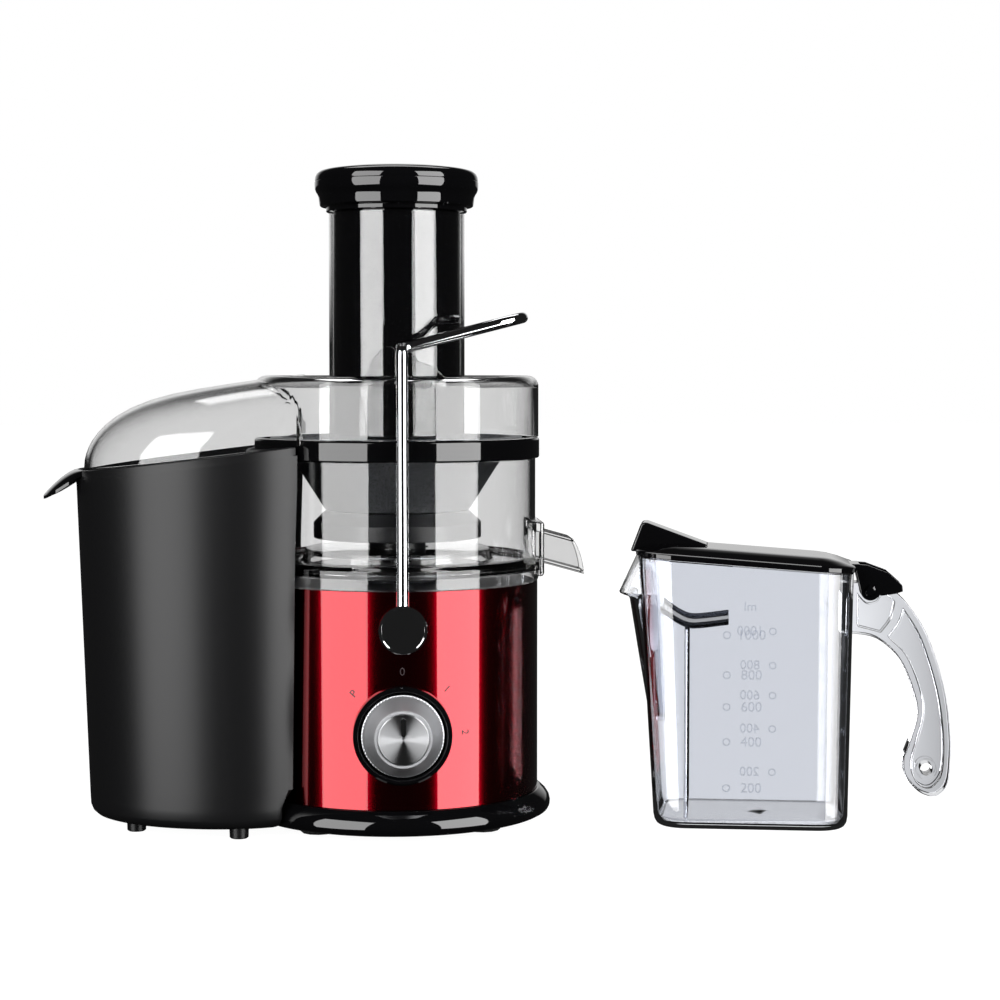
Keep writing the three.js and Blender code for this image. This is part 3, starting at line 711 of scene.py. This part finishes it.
def hood_rings(inset, low):
    """Rings over the hood's plan, from its rim up to its crest, flat on top with round sides."""
    left, right, half = 86 - inset, 100 - inset, 68 - inset
    rings = []
    shares = [1, 0.995, 0.985, 0.965, 0.94, 0.9, 0.85, 0.78, 0.68, 0.55, 0.4, 0.22, 0.05]
    for level, share in enumerate([1] + shares):
        ring = []
        for i in range(96):
            angle = i / 96 * TAU
            reach = right if math.cos(angle) > 0 else left
            x = BIN_CENTRE + share * reach * math.cos(angle)
            y = share * half * math.sin(angle)
            base = rim_height(x) + 0.5
            rise = 39.9 + 0.03 * (x + 54) - inset
            z = low if level == 0 and low else base + rise * math.sqrt(max(0, 1 - share ** 3.5))
            if level == 0 and not low:
                z = base - 0.01
            ring.append((x, y, z))
        rings.append(ring)
    return rings


def dome_profile(radius, low, high, shoulder):
    """A cylinder's profile with a round shoulder at its top."""
    arc = [
        (radius - shoulder + shoulder * math.cos(a), high - shoulder + shoulder * math.sin(a))
        for a in [k / 8 * math.pi / 2 for k in range(9)]
    ]
    return [(0, low), (radius, low)] + arc + [(0, high)]


def latch_lug(name, low, high):
    """A thin upright lug on the lid's edge, with a seat for the bail's rod between its two humps."""
    right = smooth_line([(24.5, 257), (20.6, 261), (15.5, 264.4), (9.6, 266.6), (8, 269.5)], 4)
    left = smooth_line([
        (-1.8, 269.5), (-3.4, 273), (-6.4, 275), (-10.4, 273.6), (-15.6, 267.6), (-20.4, 258),
    ], 4)
    points = [(-20.4, 252), (24.5, 252)] + [(p.x, p.y) for p in right + left]
    return bevelled(plate(name, points, low, high, "Y"), 0.4)


def make_lid():
    lid = turned("lid_clear", dome_profile(LID_RADIUS, LID_LOW, LID_HIGH, 6), steps=160)
    hood = lofted("hood", hood_rings(0, None))
    hood = cut(
        hood, disc("bowl_space", 83.6, 180, LID_LOW, steps=160),
        box("right_of_hood", (-54, -90, 180), (40, 90, 280)),
    )
    lid = fused(lid, hood)
    lid = cut(
        lid, turned("inside", dome_profile(80, LID_LOW - 20, LID_HIGH - 2.5, 4.5), steps=160),
    )
    hollow = lofted("hood_inside", hood_rings(2.2, 190))
    hollow = cut(hollow, box("right_of_hollow", (-58, -90, 180), (40, 90, 280)))
    lid = cut(lid, hollow)
    lid = fused(
        lid, disc("chute", CHUTE_RADIUS, 198, CHUTE_HIGH, steps=128),
        latch_lug("front_lug", -77, -74.4), latch_lug("back_lug", 74.4, 77),
    )
    lid = cut(lid, disc("throat", CHUTE_RADIUS - 2, 190, CHUTE_HIGH + 5, steps=128))
    finished(lid, CLEAR, "cover", ["lid"], angle=30)


def make_pusher():
    body = turned("pusher_tube", [
        (0, 190), (35.3, 190), (36.3, 191), (36.3, 352.8), (34.1, 352.8), (34.1, 193), (0, 193),
    ], steps=128)
    finished(body, GLOSS_BLACK, "pusher", ["pusher_body"])
    cap = turned("pusher_cap_moulding", [
        (0, 353.1), (40.5, 353.1), (40.9, 353.6), (40.9, 355.6), (41.2, 356), (43.8, 356.2),
        (44.5, 356.8), (44.8, 358), (45.2, 361.4), (45.8, 363.2), (46.6, 364.4), (47.3, 366),
        (47.5, 368), (47.5, 370.2), (47.15, 370.7), (47.35, 371.3), (47.1, 373.2), (46.3, 375),
        (44.4, 376.5), (41, 377.4), (32, 378.6), (18, 379.5), (0, CAP_HIGH),
    ], steps=128)
    finished(cap, GLOSS_BLACK, "pusher", ["pusher_cap"])


# ---------- latch ----------
def make_latch():
    half = [
        (0, -90, PIVOT_HEIGHT), (0, -90, ROD_HEIGHT), (0, -68, ROD_HEIGHT),
        (HANDLE_REACH, -55, HANDLE_HEIGHT),
    ]
    points = half + [(x, -y, z) for x, y, z in reversed(half)]
    path = bent_path(points, [5, 5, 16, 16, 5, 5])
    radii = [3.5 if abs(p.y) > 84 and p.z < 262 else 3.15 for p in path]
    bail = rod("latch_bail_bar", path, radii)
    finished(bail, CHROME, "latch", ["latch_bail"])
    hub_profile = [
        (0, 87.6), (9, 87.6), (9, 92.4), (13, 92.4), (13.4, 92.8), (13.4, 95), (13, 95.5),
        (12.2, 95.6), (11.8, 95.3), (11.4, 95.4), (8, 96), (4, 96.3), (0, 96.4),
    ]
    for where, sign in (("front", -1), ("back", 1)):
        profile = [(r, sign * y) for r, y in hub_profile]
        hub = turned(f"latch_hub_{where}_disc", profile, "Y", (0, 0, PIVOT_HEIGHT), 96)
        finished(hub, CHROME, "latch", [f"latch_hub_{where}"])


# ---------- pulp container ----------
def bin_ring(height, inset, clearance):
    """The container's plan at a height: an oval with the motor housing's round bite out of it."""
    share = (height - 9.5) / (230 - 9.5)
    left = 84 + share * 7.5 - inset
    right = 70 + share * 6 - inset
    half = 69 + share * 5.5 - inset
    count = 240
    oval = []
    for i in range(count):
        angle = i / count * TAU
        reach = right if math.cos(angle) > 0 else left
        oval.append((BIN_CENTRE + reach * math.cos(angle), half * math.sin(angle)))
    kept = [p for p in oval if math.hypot(*p) > clearance]
    start = next(i for i, p in enumerate(oval) if math.hypot(*p) <= clearance)
    ordered = [p for p in oval[start:] + oval[:start] if p in set(kept)]
    first, last = ordered[0], ordered[-1]
    a0 = math.atan2(first[1], first[0]) % TAU
    a1 = math.atan2(last[1], last[0]) % TAU
    turns = [a1 + (a0 - a1) * k / 40 for k in range(41)]
    bite = [(clearance * math.cos(a), clearance * math.sin(a)) for a in turns]
    return evenly(ordered + bite, 160)


def evenly(points, count):
    """A closed line's points again, at even spacing from its leftmost point."""
    start = min(range(len(points)), key=lambda i: (points[i][0], abs(points[i][1])))
    loop = [Vector(p) for p in points[start:] + points[:start]]
    loop.append(loop[0])
    lengths = [(b - a).length for a, b in zip(loop, loop[1:])]
    total = sum(lengths)
    result = []
    i = 0
    gone = 0.0
    for k in range(count):
        target = total * k / count
        while gone + lengths[i] < target:
            gone += lengths[i]
            i += 1
        share = (target - gone) / lengths[i] if lengths[i] else 0
        result.append(loop[i].lerp(loop[i + 1], share))
    return result


def make_bin():
    def level(height, inset, clearance, tilt=None):
        ring = bin_ring(height, inset, clearance)
        return [(p.x, p.y, height if tilt is None else rim_height(p.x) + tilt) for p in ring]

    rings = [
        level(5.5, 5, 92), level(6.1, 3.2, 91.6), level(8, 1.2, BIN_FOOT_SPACE),
        level(11, 0.1, BIN_FOOT_SPACE), level(17, 0, BIN_FOOT_SPACE), level(27, 0, BIN_SPACE),
        level(60, 0, BIN_SPACE), level(110, 0, BIN_SPACE), level(160, 0, BIN_SPACE),
        level(196, 0, BIN_SPACE), level(208, 0, BIN_SPACE, -5), level(208, 0.3, 86, -4.6),
        level(208, 0.3, 86, -0.5), level(208, 0.9, 86.5, 0), level(208, 2, 87.4, 0),
        level(208, 2.2, 88, -0.6), level(196, 2.2, 88), level(110, 2.2, 88), level(30, 2.2, 88),
        level(19, 2.2, 93.7), level(11, 3, 93.7), level(8, 6, 95),
    ]
    container = lofted("pulp_container_tub", rings)
    stub_profile = [(0, 0), (4.6, 0), (5.3, 0.6), (5.5, 7), (0, 7)]
    for x, y in ((-91, -60), (-91, 60), (-150, -35), (-150, 35)):
        stub = turned("stub_foot", stub_profile, centre=(x, y, 0), steps=40)
        container = fused(container, stub)
    finished(container, SATIN_BLACK, "bin", ["pulp_container"], angle=40)
    make_grip_lip()


def make_grip_lip():
    """The thin lip at the container's left, which curves out and down from the rim."""
    half, steps = 26, 8
    edge = rim_height(BIN_LEFT_EDGE)
    shares = [k / steps for k in range(steps + 1)]
    rings = []
    for share in [k / 24 for k in range(25)]:
        y = -half + 2 * half * share
        fade = 1 - (abs(y) / half) ** 4
        tip = BIN_LEFT_EDGE - 17.6 * max(fade, 0.02) ** 0.7
        wall = BIN_CENTRE - 90.2 * math.sqrt(max(0, 1 - (y / 73.6) ** 2)) + 0.6
        spots = []
        for t in shares:
            drop = 14.4 * t ** 1.5 * (tip - wall) / (-204 + 185)
            spots.append((wall + (tip - wall) * t, edge - drop, 0.9 + 1.4 * (1 - t)))
        top = [(x, y, z + 0.9) for x, z, thickness in spots]
        under = [(x, y, z - thickness) for x, z, thickness in reversed(spots)]
        rings.append(top + under)
    lip = lofted("container_grip_lip", rings)
    finished(lip, GLOSS_BLACK, "bin")


# ---------- jug ----------
def jug_rim(x):
    """The height of the jug's sloping rim."""
    return 150 - 0.072 * x


def lean_left(x, height):
    """The jug's left end leans outwards, so that its points move left with height."""
    return x * (1 + JUG_LEAN * height / JUG_HALF_LENGTH) if x < 0 else x


def jug_ring(grow, height_at, corner=20, count=8):
    """The jug's plan, a rectangle with round corners, at the height that each of its points asks for."""
    ring = []
    for quarter, (sx, sy) in enumerate(((1, 1), (-1, 1), (-1, -1), (1, -1))):
        for step in range(count + 1):
            angle = (quarter + step / count) * math.pi / 2
            radius = corner + grow
            x = sx * (JUG_HALF_LENGTH - corner) + radius * math.cos(angle)
            y = sy * (JUG_HALF_WIDTH - corner) + radius * math.sin(angle)
            x = lean_left(x, height_at(x))
            ring.append((x, y, height_at(x)))
    return ring


def pouring_lip(name, wall, top):
    """The V-shaped channel on the jug's left end, widening to its mouth."""
    rings = []
    for height, reach, half in (
        (58 + wall, 58.6, 9), (96, 65, 17), (129.5, 70.4, 23.4), (131, 71.4, 24), (132.4, 76, 24.6),
        (133.6, 76.4, 25), (155, 66.4, 26), (top, 66.4, 26),
    ):
        side = [(-50, half - wall), (-56, half - wall), (-reach + wall + 3, half - 5)]
        side.append((-reach + wall, half / 3))
        rings.append([(x, y, height) for x, y in side + [(x, -y) for x, y in reversed(side)]])
    return lofted(name, rings)


HANDLE_OUTER = [
    (66, 139.8), (76, 137.6), (88, 129), (101, 109), (110.8, 79), (114.5, 52), (114.2, 30),
    (112, 21), (107.5, 16.6),
]
HANDLE_INNER = [
    (107.5, 16.6), (102.6, 16.2), (96, 19.2), (89.6, 26.8), (87.8, 36.7), (91.6, 48.5),
    (95.5, 64.4), (92.5, 79), (85, 95.7), (72, 107.2), (58, 110), (52, 110),
]
HANG_HOLE = (101, 31.7)


def handle_panels():
    """The two sunk panels on the handle's side: the grip below the web's arc, and the web above it."""
    grip = smooth_line([
        (87.4, 124.6), (97.6, 107.6), (107, 78), (110.8, 52), (110.4, 31), (106, 22.4),
        (100.6, 20.6), (94.6, 24.8), (92.4, 34.6), (95.4, 47.4), (99.2, 64.4), (96.2, 80.4),
        (88.6, 97.6), (78.6, 107.6),
    ], 4)
    arc = smooth_line([(78.6, 107.6), (84.4, 115.6), (87.4, 124.6)], 4)[1:-1]
    web = smooth_line([(61, 133), (66, 127.6), (72, 128.4), (75.4, 133.6), (82.4, 128.8)], 4)
    web += smooth_line([(82.4, 128.8), (80, 118.6), (74.4, 110.6)], 4)[1:] + [Vector((61, 114))]
    return [[(p.x, p.y) for p in grip + arc], [(p.x, p.y) for p in web]]


def jug_handle():
    outer = smooth_line(HANDLE_OUTER, 5)
    inner = smooth_line(HANDLE_INNER, 5)[1:]
    points = [(52, 139.5)] + [(p.x, p.y) for p in outer + inner]
    handle = bevelled(plate("jug_handle", points, -8, 8, "Y"), 2.2, 4)
    for panel in handle_panels():
        for low in (-11.8, 5.8):
            handle = cut(handle, bevelled(plate("panel", panel, low, low + 6, "Y"), 1.2, 3, 60))
    eye_profile = [(3.6, -7.6), (6, -7.6), (6, 7.6), (3.6, 7.6)]
    eye = turned("hole_ring", eye_profile, "Y", (HANG_HOLE[0], 0, HANG_HOLE[1]), 40)
    hole = disc("hanging_hole", 3.6, -12, 12, "Y", (HANG_HOLE[0], 0, HANG_HOLE[1]), 40)
    pin_hole = disc("pin_hole", 3.3, -12, 12, "Y", (JUG_PIN[0], 0, JUG_PIN[1]), 40)
    return fused(cut(handle, hole, pin_hole), eye)


def make_jug_body():
    def brim(x):
        return jug_rim(x) + 0.5

    outside = [(0, -4.5), (0.8, -3.2), (3, -1.9), (6, -1.4), (20, -1.2), (90, 0), (134, 0.7)]
    inside = [(134, 0.7), (90, 0), (20, -1.2), (7, -1.6), (4, -3), (3, -5)]
    rings = [jug_ring(grow, lambda x, z=z: z) for z, grow in outside]
    rings += [jug_ring(1, jug_rim), jug_ring(0.2, brim), jug_ring(-0.9, brim)]
    rings += [jug_ring(grow - JUG_WALL, lambda x, z=z: z) for z, grow in inside]
    jug = fused(lofted("jug_body_clear", rings), pouring_lip("lip_outside", 0, 170))
    above = [(-100, brim(-100)), (-40, brim(-40)), (-40, 190), (-100, 190)]
    jug = cut(jug, pouring_lip("lip_inside", 2.2, 171), plate("above_rim", above, -60, 60, "Y"))
    gate = turned("gate_mark", [(0, 3), (9, 3), (4, 3.9), (0, 4.4)], steps=4, centre=(6, 0, 0))
    jug = fused(jug, jug_handle(), gate)
    finished(jug, JUG_CLEAR, "jug", ["jug_body"], jug=True, angle=30)
    jug.visible_glossy = False


def raised_text(name, text, size, thickness):
    """Flat lettering made thick, as a mesh that faces up."""
    deselect_all()
    bpy.ops.object.text_add(location=(0, 0, 0))
    mark = bpy.context.active_object
    mark.data.body = text
    mark.data.align_x = "CENTER"
    mark.data.align_y = "CENTER"
    mark.data.size = size
    mark.data.extrude = thickness
    bpy.ops.object.convert(target="MESH")
    mark = bpy.context.active_object
    mark.name = name
    mark.data.name = name
    return mark


def placed(mark, matrix):
    mark.matrix_world = matrix
    choose(mark)
    bpy.ops.object.transform_apply(location=True, rotation=True, scale=True)
    return mark


def make_jug_marks():
    """Volume figures and their dots, raised on the jug's front and back walls."""
    upright = Matrix.Rotation(math.radians(90), 4, "X")
    levels = {
        "front": [("200", 24.6), ("400", 51), ("600", 71), ("800", 89.2), ("1000", 112)],
        "back": [("200", 20.2), ("400", 46.4), ("600", 66.6), ("800", 84.8), ("1000", 105.4)],
    }
    levels["back"].append(("ml", 120))
    dot_profile = [(1.6, -0.3), (2.3, -0.3), (2.3, 0.3), (1.6, 0.3)]
    for side, sign, dot_side in (("front", -1, -14), ("back", 1, 13.5)):
        facing = Matrix.Rotation(0 if sign < 0 else math.pi, 4, "Z")
        for label, height in levels[side]:
            mark = raised_text(f"jug_mark_{side}_{label}", label, 8, 0.3)
            spot = Matrix.Translation((0, sign * (JUG_HALF_WIDTH + 0.3), height))
            finished(placed(mark, spot @ facing @ upright), JUG_CLEAR, "jug", jug=True)
            if label == "ml":
                continue
            centre = (dot_side, sign * (JUG_HALF_WIDTH + 0.3), height)
            dot = turned(f"jug_dot_{side}_{label}", dot_profile, "Y", centre, 24)
            finished(dot, JUG_CLEAR, "jug", jug=True)


def make_separator():
    sheet = bevelled(box("froth_separator_sheet", (-38, -34, 6), (-36, 34, 114.6)), 0.3)
    finished(sheet, JUG_CLEAR, "separator", ["froth_separator"], jug=True)
    top = smooth_line([(-52, 124.2), (-44, 118.8), (-37, 115.4), (-30, 115), (-13, 117.2)], 4)
    points = [(p.x, p.y - 0.7) for p in top] + [(p.x, p.y + 0.9) for p in reversed(top)]
    wing = bevelled(plate("froth_separator_wing", points, -25, 25, "Y"), 0.3)
    rim = [(p.x, p.y - 0.9) for p in top] + [(p.x, p.y + 2.6) for p in reversed(top)]
    walls = [bevelled(plate("wing_rim", rim, y, y + 2, "Y"), 0.5) for y in (-25.4, 23.4)]
    finished(fused(wing, *walls), SMOKED, "separator", jug=True)


def make_jug_lid():
    def level(grow, rise):
        return jug_ring(grow, lambda x: jug_rim(x) + rise)

    crown = lofted("jug_lid_moulding", [
        level(0.5, 0.8), level(1.6, 0.9), level(2.1, 1.4), level(2.1, 3.6), level(1.4, 4.3),
        level(-1, 4.9), level(-6, 6.4), level(-12, 7.6), level(-17, 8.2),
    ])
    beak = [(-70, 157), (-64, 156.6), (-27, 154.8), (-25, 160.8), (-61.4, 174), (-64, 173)]
    beak = bevelled(plate("beak", beak, -12, 12, "Y"), 3, 4)
    throat = plate("beak_throat", [(-76, 160.4), (-50, 158.6), (-55, 170), (-66, 174)], -9.6, 9.6, "Y")
    crown = fused(crown, cut(beak, throat))
    pin_centre = (JUG_PIN[0], 0, JUG_PIN[1])
    ear = [(50, 148), (60, 150.4), (66, 150), (78, 145.6), (86, 138.6), (86.4, 135), (82, 133.6)]
    ear += [(74, 132.4)] + circle(JUG_PIN[0], JUG_PIN[1], 5.6, 32)[30:15:-1] + [(59.5, 146.4)]
    for low in (-12, 8.6):
        side = bevelled(plate("ear", ear, low, low + 3.4, "Y"), 0.5)
        crown = fused(crown, cut(side, disc("pin_space", 3.3, -20, 20, "Y", pin_centre, 40)))
    bridge = bevelled(box("bridge", (52, -12, 146.6), (62, 12, 150.6)), 0.8)
    crown = fused(crown, bridge)
    finished(crown, GLOSS_BLACK, "jug_cover", ["jug_lid"], jug=True)
    pin = turned("jug_hinge_pin_turned", [
        (0, -13.5), (2.2, -13.5), (3, -12.9), (3, 12.9), (2.2, 13.5), (0, 13.5),
    ], "Y", pin_centre, 40)
    finished(pin, GLOSS_BLACK, "jug", ["jug_hinge_pin"], jug=True)


# ---------- stage ----------
def make_stage():
    deselect_all()
    bpy.ops.mesh.primitive_plane_add(size=14, location=(0, 2, -0.0003))
    floor = bpy.context.active_object
    floor.name = "floor"
    material, shader = surface("pale_floor", Base_Color=colour("#6E6E6E"), Roughness=0.9)
    shader.inputs["Specular IOR Level"].default_value = 0.0
    path = add_node(material, "ShaderNodeLightPath")
    seen = add_node(
        material, "ShaderNodeMath", {"operation": "MAXIMUM"},
        _0=path.outputs["Is Camera Ray"], _1=path.outputs["Is Transmission Ray"],
    )
    dim = add_node(material, "ShaderNodeBsdfDiffuse", {"Color": colour("#5A5A5A")})
    glow = add_node(material, "ShaderNodeEmission", {"Color": (1, 1, 1, 1), "Strength": 0.97})
    bright = add_node(material, "ShaderNodeAddShader", None, _0=shader.outputs[0], _1=glow.outputs[0])
    mix = add_node(
        material, "ShaderNodeMixShader", None,
        _0=seen.outputs[0], _1=dim.outputs[0], _2=bright.outputs[0],
    )
    out = material.node_tree.nodes["Material Output"]
    material.node_tree.links.new(mix.outputs[0], out.inputs["Surface"])
    floor.data.materials.append(material)
    floor.visible_glossy = False
    floor.visible_transmission = False


def world_math(world, operation, first, second=None):
    """A maths node on two sources, each an output or a number."""
    node = add_node(world, "ShaderNodeMath", {"operation": operation})
    for socket, source in zip(node.inputs, (first, second)):
        if isinstance(source, (int, float)):
            socket.default_value = source
        elif source is not None:
            world.node_tree.links.new(source, socket)
    return node.outputs[0]


def world_ramp(world, source, low, high, start, end):
    ramp = add_node(
        world, "ShaderNodeMapRange", {"From Min": low, "From Max": high, "To Min": start, "To Max": end},
        Value=source,
    )
    return ramp.outputs[0]


def make_world():
    """White to the eye. Clear plastic sees it white in eight directions with dark flags between them,
    polished tops see the backdrop above the horizon, and everything else sees little."""
    world = bpy.data.worlds.new("studio")
    bpy.context.scene.world = world
    world.use_nodes = True
    path = add_node(world, "ShaderNodeLightPath")
    place = add_node(world, "ShaderNodeTexCoord")
    direction = add_node(world, "ShaderNodeSeparateXYZ", None, Vector=place.outputs["Generated"])
    across, along, up = direction.outputs
    azimuth = world_math(world, "ARCTAN2", across, along)
    wave = world_math(world, "COSINE", world_math(world, "MULTIPLY", azimuth, 4.0))
    square_on = world_ramp(world, wave, 0.3, 0.6, GLASS_FLAG, 1.0)
    slanting = world_ramp(world, wave, -0.6, -0.9, 0.0, GLASS_SLANT)
    steepness = world_math(world, "ABSOLUTE", up)
    level = world_ramp(world, steepness, 0.28, 0.42, 1.0, 0.12)
    steep = world_ramp(world, steepness, 0.55, 0.7, 0.0, GLASS_SLANT)
    glass = world_math(world, "MULTIPLY", world_math(world, "ADD", square_on, slanting), level)
    glass = world_math(world, "ADD", glass, steep)
    unreflected = world_math(world, "LESS_THAN", path.outputs["Glossy Depth"], 0.5)
    refracted = world_math(world, "MULTIPLY", unreflected, path.outputs["Is Transmission Ray"])
    glass = world_math(world, "MULTIPLY", glass, refracted)

    behind = world_ramp(world, along, 0.8, 0.95, 0.0, 1.0)
    horizon = world_ramp(world, up, 0.01, 0.05, 0.0, 1.0)
    overhead = world_ramp(world, up, 0.25, 0.5, 1.0, 0.0)
    tops = world_math(world, "MULTIPLY", world_math(world, "MULTIPLY", behind, horizon), overhead)
    mirror = world_math(world, "ADD", world_math(world, "MULTIPLY", tops, TOPS_LEVEL), MIRROR_LEVEL)
    not_refracted = world_math(world, "SUBTRACT", 1.0, refracted)
    mirror = world_math(world, "MULTIPLY", mirror, not_refracted)
    fill = world_math(world, "MULTIPLY", path.outputs["Is Diffuse Ray"], FILL_LEVEL)
    total = world_math(world, "ADD", world_math(world, "ADD", glass, mirror), fill)
    seen = world_math(world, "MAXIMUM", path.outputs["Is Camera Ray"], total)
    background = world.node_tree.nodes["Background"]
    background.inputs["Color"].default_value = (1, 1, 1, 1)
    world.node_tree.links.new(seen, background.inputs["Strength"])


def softbox(name, azimuth, distance, width, height, centre_height, power):
    """A tall lamp that faces the product. Azimuth 0 is in front, positive to the right."""
    angle = math.radians(azimuth)
    target = PRODUCT_PLACE + Vector((0.05, 0, 0.19))
    place = target + Vector((math.sin(angle), -math.cos(angle), 0)) * distance
    place.z = centre_height
    lamp = bpy.data.lights.new(name, "AREA")
    lamp.shape = "RECTANGLE"
    lamp.size = width
    lamp.size_y = height
    lamp.energy = power
    holder = bpy.data.objects.new(name, lamp)
    bpy.context.scene.collection.objects.link(holder)
    holder.location = place
    holder.rotation_euler = (target - place).to_track_quat("-Z", "Y").to_euler()
    holder.visible_camera = False
    return holder


def make_lights():
    softbox("left_softbox", -46, 2.0, 1.5, 2.4, 0.55, LAMP_POWER)
    softbox("right_softbox", 47, 2.0, 1.45, 2.4, 0.55, LAMP_POWER * 1.2)
    softbox("top_fill", 180, 1.2, 1.6, 0.8, 2.2, 12)


def make_camera():
    camera = bpy.data.cameras.new("camera")
    camera.lens = 81.5
    camera.sensor_width = 36
    camera.clip_end = 60
    holder = bpy.data.objects.new("camera", camera)
    bpy.context.scene.collection.objects.link(holder)
    holder.location = PRODUCT_PLACE + Vector((-0.040, -1.324, 0.2635))
    holder.rotation_euler = (math.radians(90 - 3.36), 0, math.radians(-4.33))
    bpy.context.scene.camera = holder
    bpy.context.scene.view_settings.view_transform = "Standard"


make_camera()
finish_cad_nodes()
make_housing()
make_knob()
make_dial_marks()
make_bowl()
make_basket()
make_lid()
make_pusher()
make_latch()
make_bin()
make_jug_body()
make_jug_marks()
make_separator()
make_jug_lid()
make_stage()
make_world()
make_lights()

bpy.context.view_layer.update()
